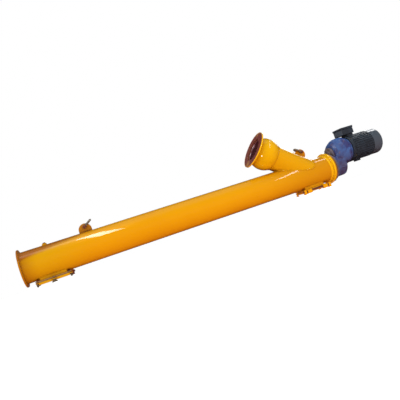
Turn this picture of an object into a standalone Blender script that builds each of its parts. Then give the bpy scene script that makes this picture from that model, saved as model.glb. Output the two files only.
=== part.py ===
"""Tubular screw conveyor: casing, screw, ball inlet, two inspection hatches, lifting shackles and drive.

Units are metres. +X runs along the casing from the discharge flange to the drive, +Z points to the
lifting lugs. The origin is on the face of the discharge flange, at the lowest point of its ring.
"""
import math

import bmesh
import bpy
from mathutils import Matrix, Vector

# Clearance left between pieces that touch, the step that keeps fused faces out of one plane, how far a
# cutter runs past what it cuts, and the number of sides of large, middling and small round pieces
GAP = 0.0003
SEAM = 0.0002
CUT_REACH = 0.02
CASING_SIDES = 40
ROUND_SIDES = 20
SMALL_SIDES = 12

# Casing: one pipe, made as three lengths so that each keeps its bore open in collision
TUBE_RADIUS = 0.1095
TUBE_WALL = 0.005
TUBE_LENGTH = 2.495
TUBE_SEAMS_X = (0.300, 1.980)
FLANGE_RADIUS = 0.131
DISCHARGE_FLANGE_THICKNESS = 0.010
DRIVE_FLANGE_THICKNESS = 0.012
AXIS_Z = 0.120
GREASE_BOSS_X = 0.180
GREASE_BOSS_RADIUS = 0.0125
GREASE_BOSS_HEIGHT = 0.014

# Screw and its hanger bearing. The flight is one helix, made as three lengths that end at whole turns.
SHAFT_RADIUS = 0.030
SHAFT_STUB_RADIUS = 0.024
SHAFT_START_X = 0.120
SHAFT_SHOULDER_X = 0.160
FLIGHT_RADIUS = 0.101
FLIGHT_THICKNESS = 0.004
FLIGHT_PITCH = 0.200
FLIGHT_START_X = 0.235
FLIGHT_LENGTHS = (("discharge", 0, 1), ("middle", 1, 9), ("inlet", 9, 11))
HANGER_X = 0.180
HANGER_WIDTH = 0.030
HANGER_RADIUS = 0.048
HANGER_POST_HALF_DEPTH = 0.018
HANGER_POST_INSET = 0.003
HANGER_POST_ROOT = 0.008

# Ball inlet: distances are measured along the branch from the casing's axis
BRANCH_X = 2.339
BRANCH_ANGLE = math.radians(37.0)
BRANCH_RADIUS = 0.103
BRANCH_WALL = 0.0045
BALL_DISTANCE = 0.445
BALL_RADIUS = 0.130
BALL_WALL = 0.005
BALL_MOUTH_RADIUS = 0.097
BALL_STEPS = 9
COLLAR_OFFSET = 0.084
COLLAR_THICKNESS = 0.010
COLLAR_RADIUS = 0.126
COLLAR_BORE = 0.0998
INLET_FLANGE_THICKNESS = 0.010
INLET_FLANGE_RADIUS = 0.151
INLET_FLANGE_BORE = 0.095

# Lifting lugs and shackles
LUG_WIDTH = 0.092
LUG_HEIGHT = 0.060
LUG_THICKNESS = 0.010
LUG_HOLE_HEIGHT = 0.036
LUG_STEPS = 16
DISCHARGE_LUG_X = 0.468
INLET_LUG_DISTANCE = 0.143
SHACKLE_PIN_RADIUS = 0.006
SHACKLE_HALF_JAW = 0.017
SHACKLE_REACH = 0.062
SHACKLE_BAR_RADIUS = 0.0065
SHACKLE_EAR_RADIUS = 0.013
SHACKLE_EAR_HALF_WIDTH = 0.00585
SHACKLE_BOW_STEPS = 8
SHACKLE_PIN_HALF_LENGTH = 0.034
SHACKLE_PIN_HEAD_RADIUS = 0.0102
DISCHARGE_SHACKLE_LEAN = math.radians(35.0)

# Inspection hatches, as heights below the casing's axis and sizes along and across it
HATCH_CENTRES_X = {"discharge": 0.181, "inlet": 2.296}
HATCH_HINGE_SIDES = {"discharge": 1.0, "inlet": -1.0}
HATCH_BOX_LENGTH = 0.184
HATCH_BOX_WIDTH = 0.118
HATCH_BOX_WALL = 0.006
HATCH_BOX_BOTTOM = 0.112
HATCH_LIP_LENGTH = 0.206
HATCH_LIP_WIDTH = 0.150
HATCH_LIP_THICKNESS = 0.005
GASKET_THICKNESS = 0.005
GASKET_INSET = 0.003
COVER_PLATE_THICKNESS = 0.005
COVER_HEIGHT = 0.016
COVER_RIM = 0.004
TUBE_WINDOW_LENGTH = 0.142
TUBE_WINDOW_WIDTH = 0.084
ROD_OFFSET = 0.085
ROD_DROP = 0.1265
ROD_RADIUS = 0.006
ROD_LENGTH = 0.272
KNUCKLE_RADIUS = 0.011
KNUCKLE_LENGTH = 0.040
KNUCKLE_SPREAD = 0.076
KNUCKLE_BLOCK_DROP = 0.019
HINGE_LUG_OFFSET = 0.1085
HINGE_LUG_THICKNESS = 0.020
HINGE_LUG_BOTTOM = 0.150
HINGE_LUG_FRONT = 0.0765
HINGE_LUG_BACK = 0.096
HINGE_ARM_ROOT = 0.101
HINGE_ARM_FRONT = 0.060
SCREW_EAR_REACH = 0.011
SCREW_EAR_ROOT = 0.0145
SCREW_EAR_WIDTH = 0.030
END_SCREW_OFFSET = 0.112
END_SCREW_SIDE = 0.055
MIDDLE_SCREW_SIDE = 0.087
WING_SCREW_RADIUS = 0.004
WING_HUB_RADIUS = 0.008
WING_HUB_HEIGHT = 0.016
WING_SPAN = 0.036
WING_HEIGHT = 0.014
WING_THICKNESS = 0.004
WING_DROP = 0.009
WING_SCREW_TIP = 0.004
FRAME_SCREW_HOLE = 0.0065

# Drive, as positions along the casing
END_PLATE_RADIUS = 0.126
END_PLATE_THICKNESS = 0.014
END_PLATE_BORE = 0.0305
ADAPTER_RADIUS = 0.114
ADAPTER_END_X = 2.537
LOWER_HOUSING_RADIUS = 0.100
LOWER_HOUSING_END_X = 2.650
NECK_START_X = 2.585
NECK_HALF_WIDTH = 0.082
MOTOR_AXIS_RISE = 0.104
CAP_START_X = 2.545
CAP_END_X = 2.575
CAP_RADIUS = 0.060
UPPER_HOUSING_PROFILE = ((0.074, 2.5753), (0.090, 2.590), (0.112, 2.626), (0.118, 2.645),
                         (0.118, 2.700), (0.104, 2.722), (0.104, 2.735))
END_SHIELD_END_X = 2.762
MOTOR_RADIUS = 0.112
STATOR_END_X = 2.958
FIN_ROOT_RADIUS = 0.098
FIN_COUNT = 28
POINTS_PER_FIN = 4
COWL_END_X = 3.056
COWL_RADIUS = 0.109
COWL_ROUNDING = 0.022
COWL_ROUNDING_STEPS = 5

# Terminal box on the motor
TERMINAL_BOX_LOW = (2.712, -0.058, 0.226)
TERMINAL_BOX_HIGH = (2.832, 0.058, 0.272)
TERMINAL_FOOT_LOW = (2.770, -0.045, 0.190)
TERMINAL_FOOT_HIGH = (2.826, 0.045, 0.230)
TERMINAL_LID_HEIGHT = 0.018
TERMINAL_LID_OVERHANG = 0.003

# Finishes: base colour, roughness, metallic
FINISHES = {
    "yellow_enamel": ((0.86, 0.38, 0.008), 0.28, 0.0),
    "red_primer": ((0.16, 0.035, 0.035), 0.45, 0.0),
    "blue_enamel": ((0.065, 0.09, 0.28), 0.38, 0.0),
    "brown_primer": ((0.13, 0.09, 0.08), 0.6, 0.0),
    "motor_paint": ((0.028, 0.034, 0.045), 0.45, 0.0),
    "cowl_paint": ((0.11, 0.13, 0.16), 0.4, 0.3),
    "black_rubber": ((0.05, 0.045, 0.04), 0.8, 0.0),
    "zinc_steel": ((0.42, 0.40, 0.36), 0.45, 0.9),
    "bright_steel": ((0.38, 0.37, 0.35), 0.4, 1.0),
    "rusty_steel": ((0.17, 0.06, 0.03), 0.7, 0.4),
}

ASSEMBLY = "screw_conveyor"
CUTTERS = "cutters"


def clear_scene():
    """Remove every object, and make the collections for the parts and the cutters."""
    for obj in list(bpy.data.objects):
        bpy.data.objects.remove(obj, do_unlink=True)
    for name in (ASSEMBLY, CUTTERS):
        group = bpy.data.collections.get(name) or bpy.data.collections.new(name)
        if group.name not in bpy.context.scene.collection.children:
            bpy.context.scene.collection.children.link(group)


def finish_material(name):
    """Return the material of a finish, made once."""
    material = bpy.data.materials.get(name)
    if material is None:
        colour, roughness, metallic = FINISHES[name]
        material = bpy.data.materials.new(name)
        material.use_nodes = True
        shader = material.node_tree.nodes["Principled BSDF"]
        shader.inputs["Base Color"].default_value = (*colour, 1.0)
        shader.inputs["Roughness"].default_value = roughness
        shader.inputs["Metallic"].default_value = metallic
        material.diffuse_color = (*colour, 1.0)
    return material


def add_object(name, data, matrix, finish):
    """Link an object as a part with its own finish, or as a cutter when finish is None."""
    obj = bpy.data.objects.new(name, data)
    obj.matrix_world = matrix
    if finish is None:
        bpy.data.collections[CUTTERS].objects.link(obj)
        obj.hide_render = True
        obj.display_type = "WIRE"
    else:
        bpy.data.collections[ASSEMBLY].objects.link(obj)
        data.materials.append(finish_material(finish))
    return obj


def to_mesh(name, fill):
    """Make a mesh with a function that fills a bmesh."""
    bm = bmesh.new()
    fill(bm)
    mesh = bpy.data.meshes.new(name)
    bm.to_mesh(mesh)
    bm.free()
    return mesh


def boolean(obj, tool, operation):
    """Add a Boolean of the exact kind."""
    modifier = obj.modifiers.new(f"{operation.lower()} {tool.name}", "BOOLEAN")
    modifier.operation = operation
    modifier.solver = "EXACT"
    modifier.object = tool


def cut(obj, *tools):
    """Take each tool away from an object."""
    for tool in tools:
        boolean(obj, tool, "DIFFERENCE")


def fuse(obj, *tools):
    """Join each tool to an object."""
    for tool in tools:
        boolean(obj, tool, "UNION")


def box(name, low, high, finish=None):
    """Make a box from its lowest and highest corners, with its origin at its centre."""
    low, high = Vector(low), Vector(high)
    size = high - low
    mesh = to_mesh(name, lambda bm: bmesh.ops.create_cube(bm, size=1.0, matrix=Matrix.Diagonal((*size, 1.0))))
    return add_object(name, mesh, Matrix.Translation((low + high) / 2), finish)


def axis_frame(origin, direction):
    """Return a frame whose Z lies along a direction in the XZ plane, and whose Y stays across it."""
    along = Vector(direction).normalized()
    across = Vector((0.0, 1.0, 0.0))
    rest = across.cross(along)
    rotation = Matrix((rest, across, along)).transposed().to_4x4()
    return Matrix.Translation(Vector(origin)) @ rotation


def turned(name, profile, matrix, finish=None, closed=False, sides=CASING_SIDES):
    """Turn a profile of (radius, height) points, top to bottom on the outside, about local Z."""
    mesh = bpy.data.meshes.new(name)
    points = [(radius, 0.0, height) for radius, height in profile]
    edges = [(i, i + 1) for i in range(len(points) - 1)]
    if closed:
        edges.append((len(points) - 1, 0))
    mesh.from_pydata(points, edges, [])
    obj = add_object(name, mesh, matrix, finish)
    screw = obj.modifiers.new("turn", "SCREW")
    screw.axis = "Z"
    screw.steps = sides
    screw.render_steps = sides
    screw.use_merge_vertices = True
    screw.merge_threshold = 0.00001
    screw.use_smooth_shade = False
    return obj


def disc(name, radius, start, end, matrix, finish=None, sides=CASING_SIDES):
    """Turn a solid cylinder between two heights."""
    profile = ((0.0, end), (radius, end), (radius, start), (0.0, start))
    return turned(name, profile, matrix, finish, sides=sides)


def ring(name, outer, inner, start, end, matrix, finish=None, sides=CASING_SIDES):
    """Turn a ring between two heights."""
    profile = ((outer, end), (outer, start), (inner, start), (inner, end))
    return turned(name, profile, matrix, finish, closed=True, sides=sides)


def flat_plate(name, outline, thickness, matrix, finish=None, hole=None):
    """Make a plate from an outline in local XY, centred on its own thickness, with an optional hole."""
    curve = bpy.data.curves.new(name, "CURVE")
    curve.dimensions = "2D"
    curve.fill_mode = "BOTH"
    curve.extrude = thickness / 2
    for loop in (outline, hole) if hole else (outline,):
        spline = curve.splines.new("POLY")
        spline.points.add(len(loop) - 1)
        for point, (x, y) in zip(spline.points, loop):
            point.co = (x, y, 0.0, 1.0)
        spline.use_cyclic_u = True
    return mesh_from_curve(name, curve, matrix, finish)


def round_bar(name, points, radius, matrix, finish=None):
    """Sweep a round bar along points in local space."""
    curve = bpy.data.curves.new(name, "CURVE")
    curve.dimensions = "3D"
    curve.bevel_depth = radius
    curve.bevel_resolution = 2
    curve.use_fill_caps = True
    spline = curve.splines.new("POLY")
    spline.points.add(len(points) - 1)
    for point, place in zip(spline.points, points):
        point.co = (*place, 1.0)
    return mesh_from_curve(name, curve, matrix, finish)


def mesh_from_curve(name, curve, matrix, finish):
    """Turn a curve into a closed mesh object, because Booleans need one."""
    source = bpy.data.objects.new(name + "_curve", curve)
    bpy.context.scene.collection.objects.link(source)
    source.matrix_world = matrix
    bpy.context.view_layer.update()
    depsgraph = bpy.context.evaluated_depsgraph_get()
    mesh = bpy.data.meshes.new_from_object(source.evaluated_get(depsgraph))
    bm = bmesh.new()
    bm.from_mesh(mesh)
    bmesh.ops.remove_doubles(bm, verts=bm.verts, dist=0.00001)
    bmesh.ops.recalc_face_normals(bm, faces=bm.faces)
    bm.to_mesh(mesh)
    bm.free()
    mesh.name = name
    bpy.data.objects.remove(source, do_unlink=True)
    bpy.data.curves.remove(curve)
    return add_object(name, mesh, matrix, finish)


def arc(radius, start, end, steps):
    """Return the points of an arc about the origin between two angles, both ends included."""
    turns = [start + (end - start) * i / steps for i in range(steps + 1)]
    return [(radius * math.cos(turn), radius * math.sin(turn)) for turn in turns]


def pivot(name, place, *pieces):
    """Hang pieces on an empty that sits on their joint's axis."""
    empty = bpy.data.objects.new(name, None)
    empty.location = place
    empty.empty_display_size = 0.05
    bpy.data.collections[ASSEMBLY].objects.link(empty)
    bpy.context.view_layer.update()
    for piece in pieces:
        piece.parent = empty
        piece.matrix_parent_inverse = empty.matrix_world.inverted()
    return empty


CASING = axis_frame((0.0, 0.0, AXIS_Z), (1.0, 0.0, 0.0))
MOTOR = axis_frame((0.0, 0.0, AXIS_Z + MOTOR_AXIS_RISE), (1.0, 0.0, 0.0))
BRANCH_DIRECTION = Vector((-math.cos(BRANCH_ANGLE), 0.0, math.sin(BRANCH_ANGLE)))
BRANCH_UP = Vector((math.sin(BRANCH_ANGLE), 0.0, math.cos(BRANCH_ANGLE)))
BRANCH = axis_frame((BRANCH_X, 0.0, AXIS_Z), BRANCH_DIRECTION)


def below_axis(drop):
    """Return the height of a point that lies a distance below the casing's axis."""
    return AXIS_Z - drop


def make_casing():
    """Tube with its inlet hole and hatch windows, the end flanges and the grease boss."""
    first_seam, second_seam = TUBE_SEAMS_X
    tubes = {}
    for name, start, end in (("discharge", 0.0, first_seam), ("middle", first_seam + GAP, second_seam),
                             ("inlet", second_seam + GAP, TUBE_LENGTH)):
        tubes[name] = ring(f"{name}_tube", TUBE_RADIUS, TUBE_RADIUS - TUBE_WALL, start, end, CASING,
                           "yellow_enamel")
    cut(tubes["inlet"], disc("cut_inlet_bore", BRANCH_RADIUS - BRANCH_WALL, 0.0, BALL_DISTANCE, BRANCH))
    half_length, half_width = TUBE_WINDOW_LENGTH / 2, TUBE_WINDOW_WIDTH / 2
    for name, centre in HATCH_CENTRES_X.items():
        cut(tubes[name], box(f"cut_{name}_window",
                             (centre - half_length, -half_width, below_axis(TUBE_RADIUS + CUT_REACH)),
                             (centre + half_length, half_width, below_axis(TUBE_RADIUS - 2 * CUT_REACH))))
    bore = TUBE_RADIUS + GAP
    ring("discharge_flange", FLANGE_RADIUS, bore, 0.0, DISCHARGE_FLANGE_THICKNESS, CASING, "yellow_enamel")
    ring("drive_flange", FLANGE_RADIUS, bore, TUBE_LENGTH - DRIVE_FLANGE_THICKNESS, TUBE_LENGTH, CASING,
         "yellow_enamel")
    boss_foot = AXIS_Z + TUBE_RADIUS + GAP
    disc("grease_boss", GREASE_BOSS_RADIUS, boss_foot, boss_foot + GREASE_BOSS_HEIGHT,
         Matrix.Translation((GREASE_BOSS_X, 0.0, 0.0)), "yellow_enamel", sides=ROUND_SIDES)


def make_screw():
    """Shaft, helical flight and the hanger bearing at the open end."""
    shaft_end = TUBE_LENGTH + GAP + END_PLATE_THICKNESS
    turned("screw_shaft", ((0.0, shaft_end), (SHAFT_RADIUS, shaft_end), (SHAFT_RADIUS, SHAFT_SHOULDER_X),
                           (SHAFT_STUB_RADIUS, SHAFT_SHOULDER_X), (SHAFT_STUB_RADIUS, SHAFT_START_X),
                           (0.0, SHAFT_START_X)), CASING, "bright_steel", sides=ROUND_SIDES)

    inner, outer, half = SHAFT_RADIUS + GAP, FLIGHT_RADIUS, FLIGHT_THICKNESS / 2
    corners = ((inner, -half), (outer, -half), (outer, half), (inner, half))

    def fill_flight(bm, first_turn, last_turn):
        start_x = FLIGHT_START_X + FLIGHT_PITCH * first_turn
        verts = [bm.verts.new((radius, 0.0, start_x + offset)) for radius, offset in corners]
        blade = bm.faces.new(verts)
        steps = (last_turn - first_turn) * ROUND_SIDES
        turns = last_turn - first_turn - GAP / (math.tau * SHAFT_RADIUS)
        bmesh.ops.spin(bm, geom=[blade, *blade.edges, *verts], cent=(0.0, 0.0, 0.0), axis=(0.0, 0.0, 1.0),
                       dvec=(0.0, 0.0, FLIGHT_PITCH * turns / steps), angle=math.tau * turns, steps=steps)
        bmesh.ops.recalc_face_normals(bm, faces=bm.faces)

    for length, first, last in FLIGHT_LENGTHS:
        name = f"{length}_flight"
        add_object(name, to_mesh(name, lambda bm: fill_flight(bm, first, last)), CASING, "bright_steel")
    start, end = HANGER_X - HANGER_WIDTH / 2, HANGER_X + HANGER_WIDTH / 2
    hanger = ring("hanger_bearing", HANGER_RADIUS, SHAFT_RADIUS + GAP, start, end, CASING, "brown_primer",
                  sides=ROUND_SIDES)
    root = AXIS_Z + HANGER_RADIUS - HANGER_POST_ROOT
    post = box("add_hanger_post", (start + HANGER_POST_INSET, -HANGER_POST_HALF_DEPTH, root),
               (end - HANGER_POST_INSET, HANGER_POST_HALF_DEPTH, AXIS_Z + TUBE_RADIUS))
    cut(post, ring("cut_above_hanger", TUBE_RADIUS + CUT_REACH, TUBE_RADIUS - TUBE_WALL - GAP,
                   start - CUT_REACH, end + CUT_REACH, CASING))
    fuse(hanger, post)


def make_inlet():
    """Slanting branch, ball, collar and the primed flange."""
    branch = ring("inlet_branch", BRANCH_RADIUS, BRANCH_RADIUS - BRANCH_WALL, 0.0, BALL_DISTANCE, BRANCH,
                  "yellow_enamel")
    casing_cutter = disc("cut_casing", TUBE_RADIUS + GAP, BRANCH_X - BALL_DISTANCE, BRANCH_X + BALL_DISTANCE,
                         CASING)
    mouth = math.acos(BALL_MOUTH_RADIUS / BALL_RADIUS)
    foot = -math.acos((BRANCH_RADIUS - BRANCH_WALL) / BALL_RADIUS)
    ball_frame = BRANCH @ Matrix.Translation((0.0, 0.0, BALL_DISTANCE))
    shell = arc(BALL_RADIUS, mouth, foot, BALL_STEPS) + arc(BALL_RADIUS - BALL_WALL, foot, mouth, BALL_STEPS)
    turned("inlet_ball", shell, ball_frame, "yellow_enamel", closed=True)
    past_foot = foot + (foot - mouth) / BALL_STEPS
    socket = arc(BALL_RADIUS + GAP, mouth, past_foot, BALL_STEPS + 1)
    ball_cutter = turned("cut_ball", ((0.0, socket[0][1]), *socket, (0.0, socket[-1][1])), ball_frame)
    cut(branch, casing_cutter, ball_cutter)
    collar_start = BALL_DISTANCE + COLLAR_OFFSET
    collar_end = collar_start + COLLAR_THICKNESS
    ring("inlet_collar", COLLAR_RADIUS, COLLAR_BORE, collar_start, collar_end, BRANCH, "yellow_enamel")
    flange_start = collar_end + GAP
    ring("inlet_flange", INLET_FLANGE_RADIUS, INLET_FLANGE_BORE, flange_start,
         flange_start + INLET_FLANGE_THICKNESS, BRANCH, "red_primer")


def make_lug(name, base, along, up):
    """D-shaped lifting plate on a base point, with the hole for its shackle pin."""
    half = LUG_WIDTH / 2
    shoulder = LUG_HEIGHT - half
    crown = [(x, shoulder + y) for x, y in arc(half, 0.0, math.pi, LUG_STEPS)]
    outline = [(-half, GAP), (half, GAP), *crown]
    along, up = Vector(along), Vector(up)
    frame = Matrix.Translation(base) @ Matrix((along, up, along.cross(up))).transposed().to_4x4()
    lug = flat_plate(name, outline, LUG_THICKNESS, frame, "yellow_enamel")
    hole = Vector(base) + up * LUG_HOLE_HEIGHT
    cut(lug, disc(f"cut_{name}_hole", SHACKLE_PIN_RADIUS + GAP, -CUT_REACH, CUT_REACH, across_frame(hole),
                  sides=SMALL_SIDES))
    return hole


def across_frame(place):
    """Return a frame at a place whose Z lies along world Y."""
    return Matrix.Translation(place) @ Matrix.Rotation(math.radians(-90.0), 4, "X")


def make_shackle(name, hole, reach_direction):
    """Bow and pin of a shackle that reaches from a lug's hole in a given direction."""
    reach = Vector(reach_direction).normalized()
    across = Vector((0.0, 1.0, 0.0))
    frame = Matrix.Translation(hole) @ Matrix((reach, across, reach.cross(across))).transposed().to_4x4()
    crown = SHACKLE_REACH - SHACKLE_HALF_JAW
    bend = [(crown + x, y, 0.0) for x, y in arc(SHACKLE_HALF_JAW, math.pi / 2, -math.pi / 2, SHACKLE_BOW_STEPS)]
    path = [(0.0, SHACKLE_HALF_JAW, 0.0), *bend, (0.0, -SHACKLE_HALF_JAW, 0.0)]
    bow = round_bar(f"{name}_shackle_bow", path, SHACKLE_BAR_RADIUS, frame, "zinc_steel")
    pin_frame = across_frame(hole)
    for side in (-1.0, 1.0):
        middle = side * SHACKLE_HALF_JAW
        fuse(bow, disc(f"add_{name}_ear_{'near' if side < 0 else 'far'}", SHACKLE_EAR_RADIUS,
                       middle - SHACKLE_EAR_HALF_WIDTH, middle + SHACKLE_EAR_HALF_WIDTH, pin_frame,
                       sides=SMALL_SIDES))
    end = SHACKLE_PIN_HALF_LENGTH
    cut(bow, disc(f"cut_{name}_pin_hole", SHACKLE_PIN_RADIUS + GAP, -end, end, pin_frame, sides=SMALL_SIDES))
    head = SHACKLE_HALF_JAW + SHACKLE_BAR_RADIUS + GAP
    head_radius = SHACKLE_PIN_HEAD_RADIUS
    pin = turned(f"{name}_shackle_pin", ((0.0, end), (head_radius, end), (head_radius, head),
                                         (SHACKLE_PIN_RADIUS, head), (SHACKLE_PIN_RADIUS, -head),
                                         (head_radius, -head), (head_radius, -end), (0.0, -end)),
                 pin_frame, "zinc_steel", sides=SMALL_SIDES)
    pivot(f"{name}_shackle_pivot", hole, bow, pin)


def make_lifting():
    """The lug on the tube and the lug on the branch, each with its shackle."""
    lean = DISCHARGE_SHACKLE_LEAN
    hole = make_lug("discharge_lug", (DISCHARGE_LUG_X, 0.0, AXIS_Z + TUBE_RADIUS), (1.0, 0.0, 0.0),
                    (0.0, 0.0, 1.0))
    make_shackle("discharge", hole, (math.cos(lean), 0.0, math.sin(lean)))
    base = (Vector((BRANCH_X, 0.0, AXIS_Z)) + BRANCH_DIRECTION * INLET_LUG_DISTANCE
            + BRANCH_UP * BRANCH_RADIUS)
    hole = make_lug("inlet_lug", base, -BRANCH_DIRECTION, BRANCH_UP)
    make_shackle("inlet", hole, BRANCH_DIRECTION)


def hatch_screws(centre, hinge_side):
    """Return the places of a hatch's three wing screws, as (x, y, ear's outward direction)."""
    near = -hinge_side
    return [(centre - END_SCREW_OFFSET, near * END_SCREW_SIDE, Vector((-1.0, 0.0, 0.0))),
            (centre, near * MIDDLE_SCREW_SIDE, Vector((0.0, near, 0.0))),
            (centre + END_SCREW_OFFSET, near * END_SCREW_SIDE, Vector((1.0, 0.0, 0.0)))]


def screw_ear(name, x, y, outward, low, high):
    """Make the ear that stands out round a wing screw, reaching back into the plate that carries it."""
    across = Vector((abs(outward.y), abs(outward.x), 0.0)) * (SCREW_EAR_WIDTH / 2)
    centre = Vector((x, y, 0.0))
    ends = (centre + outward * SCREW_EAR_REACH, centre - outward * SCREW_EAR_ROOT)
    points = [end + across * sign for end in ends for sign in (-1.0, 1.0)]
    lowest = [min(point[axis] for point in points) for axis in range(2)]
    highest = [max(point[axis] for point in points) for axis in range(2)]
    return box(name, (*lowest, low), (*highest, high))


def make_hatch(name):
    """Welded frame, gasket, hinged cover, rod and wing screws of one inspection hatch."""
    centre, side = HATCH_CENTRES_X[name], HATCH_HINGE_SIDES[name]
    lip_top = below_axis(HATCH_BOX_BOTTOM)
    lip_bottom = lip_top - HATCH_LIP_THICKNESS
    gasket_bottom = lip_bottom - GAP - GASKET_THICKNESS
    cover_top = gasket_bottom - GAP
    plate_bottom = cover_top - COVER_PLATE_THICKNESS
    screws = hatch_screws(centre, side)

    def centred(piece, length, width, low, high, finish=None):
        half_length, half_width = length / 2, width / 2
        return box(piece, (centre - half_length, -half_width, low), (centre + half_length, half_width, high),
                   finish)

    frame = centred(f"{name}_hatch_frame", HATCH_BOX_LENGTH, HATCH_BOX_WIDTH, lip_bottom, AXIS_Z,
                    "yellow_enamel")
    fuse(frame, centred(f"add_{name}_lip", HATCH_LIP_LENGTH, HATCH_LIP_WIDTH, lip_bottom, lip_top))
    rod_y = side * ROD_OFFSET
    rod_z = below_axis(ROD_DROP)
    for end in (-1.0, 1.0):
        inner = centre + end * HINGE_LUG_OFFSET
        outer = inner + end * HINGE_LUG_THICKNESS
        tag = f"{name}_{'left' if end < 0 else 'right'}"
        arm = sorted((centre + end * HINGE_ARM_ROOT, outer + end * SEAM))
        lug = sorted((inner, outer))
        reach = sorted((side * HINGE_ARM_FRONT, side * (HINGE_LUG_BACK + SEAM)))
        drop = sorted((side * HINGE_LUG_FRONT, side * HINGE_LUG_BACK))
        fuse(frame, box(f"add_{tag}_arm", (arm[0], reach[0], lip_bottom + SEAM),
                        (arm[1], reach[1], lip_top - SEAM)),
             box(f"add_{tag}_lug", (lug[0], drop[0], below_axis(HINGE_LUG_BOTTOM)),
                 (lug[1], drop[1], lip_top - 2 * SEAM)))
    for number, (x, y, outward) in enumerate(screws, 1):
        fuse(frame, screw_ear(f"add_{name}_frame_ear_{number}", x, y, outward, lip_bottom + SEAM,
                              lip_top - SEAM))
    inner_length = HATCH_BOX_LENGTH - 2 * HATCH_BOX_WALL
    inner_width = HATCH_BOX_WIDTH - 2 * HATCH_BOX_WALL
    rod_frame = axis_frame((0.0, rod_y, rod_z), (1.0, 0.0, 0.0))
    start, end = centre - ROD_LENGTH, centre + ROD_LENGTH
    cut(frame, centred(f"cut_{name}_throat", inner_length, inner_width, lip_bottom - CUT_REACH,
                       AXIS_Z + CUT_REACH),
        disc(f"cut_{name}_casing", TUBE_RADIUS + GAP, start, end, CASING),
        disc(f"cut_{name}_rod_holes", ROD_RADIUS + GAP, start, end, rod_frame, sides=SMALL_SIDES))
    for number, (x, y, _) in enumerate(screws, 1):
        cut(frame, disc(f"cut_{name}_slot_{number}", FRAME_SCREW_HOLE, lip_bottom - CUT_REACH,
                        lip_top + CUT_REACH, Matrix.Translation((x, y, 0.0)), sides=SMALL_SIDES))

    gasket = centred(f"{name}_hatch_gasket", HATCH_LIP_LENGTH - 2 * GASKET_INSET,
                     HATCH_LIP_WIDTH - 2 * GASKET_INSET, gasket_bottom, lip_bottom - GAP, "black_rubber")
    cut(gasket, centred(f"cut_{name}_gasket", inner_length, inner_width, gasket_bottom - CUT_REACH,
                        lip_bottom + CUT_REACH))

    cover = centred(f"{name}_hatch_cover", HATCH_LIP_LENGTH, HATCH_LIP_WIDTH, cover_top - COVER_HEIGHT,
                    cover_top, "yellow_enamel")
    cut(cover, centred(f"cut_{name}_tray", HATCH_LIP_LENGTH - 2 * COVER_RIM, HATCH_LIP_WIDTH - 2 * COVER_RIM,
                       cover_top - COVER_HEIGHT - CUT_REACH, plate_bottom))
    for end in (-1.0, 1.0):
        middle = centre + end * KNUCKLE_SPREAD
        tag = f"{name}_{'left' if end < 0 else 'right'}"
        fuse(cover, make_knuckle(f"add_{tag}_knuckle", Vector((middle, rod_y, rod_z)), side,
                                 cover_top - rod_z - SEAM * 2))
    for number, (x, y, outward) in enumerate(screws, 1):
        fuse(cover, screw_ear(f"add_{name}_cover_ear_{number}", x, y, outward, plate_bottom + SEAM,
                              cover_top - SEAM))
    wings = []
    for number, (x, y, outward) in enumerate(screws, 1):
        place = Matrix.Translation((x, y, 0.0))
        cut(cover, disc(f"cut_{name}_screw_{number}", WING_SCREW_RADIUS + GAP, plate_bottom - CUT_REACH,
                        cover_top + CUT_REACH, place, sides=SMALL_SIDES))
        wings.append(make_wing_screw(f"{name}_wing_screw_{number}", place, outward, plate_bottom - GAP,
                                     lip_top + WING_SCREW_TIP))

    disc(f"{name}_hatch_rod", ROD_RADIUS, centre - ROD_LENGTH / 2, centre + ROD_LENGTH / 2, rod_frame,
         "rusty_steel", sides=SMALL_SIDES)
    pivot(f"{name}_hatch_pivot", (centre, rod_y, rod_z), cover, *wings)


def make_knuckle(name, place, side, strap_top):
    """Block round the hinge rod, round on top and outside, that reaches back into the cover's rim."""
    strap_end = ROD_OFFSET - HATCH_LIP_WIDTH / 2 + COVER_RIM / 2
    start = math.asin(strap_top / KNUCKLE_RADIUS)
    barrel = arc(KNUCKLE_RADIUS, start, math.pi, SMALL_SIDES)
    outline = [(strap_end, -KNUCKLE_BLOCK_DROP), (strap_end, strap_top), *barrel,
               (-KNUCKLE_RADIUS, -KNUCKLE_BLOCK_DROP)]
    hole = arc(ROD_RADIUS + GAP, 0.0, math.tau, SMALL_SIDES)[:-1]
    back = Vector((0.0, -side, 0.0))
    up = Vector((0.0, 0.0, 1.0))
    frame = Matrix.Translation(place) @ Matrix((back, up, back.cross(up))).transposed().to_4x4()
    return flat_plate(name, outline, KNUCKLE_LENGTH, frame, hole=hole)


def make_wing_screw(name, place, outward, seat, tip):
    """Screw with a hub and two wings that spread across its ear's direction, standing on its tip side up."""
    hub_bottom = seat - WING_HUB_HEIGHT
    screw = turned(name, ((0.0, tip), (WING_SCREW_RADIUS, tip), (WING_SCREW_RADIUS, seat),
                          (WING_HUB_RADIUS, seat), (WING_HUB_RADIUS, hub_bottom), (0.0, hub_bottom)), place,
                   "zinc_steel", sides=SMALL_SIDES)
    half = (Vector((abs(outward.y), abs(outward.x), 0.0)) * WING_SPAN
            + Vector((abs(outward.x), abs(outward.y), 0.0)) * WING_THICKNESS) / 2
    foot = place.translation + Vector((0.0, 0.0, hub_bottom - WING_DROP))
    fuse(screw, box(f"add_{name}", foot - half, foot + half + Vector((0.0, 0.0, WING_HEIGHT))))
    return screw


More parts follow.
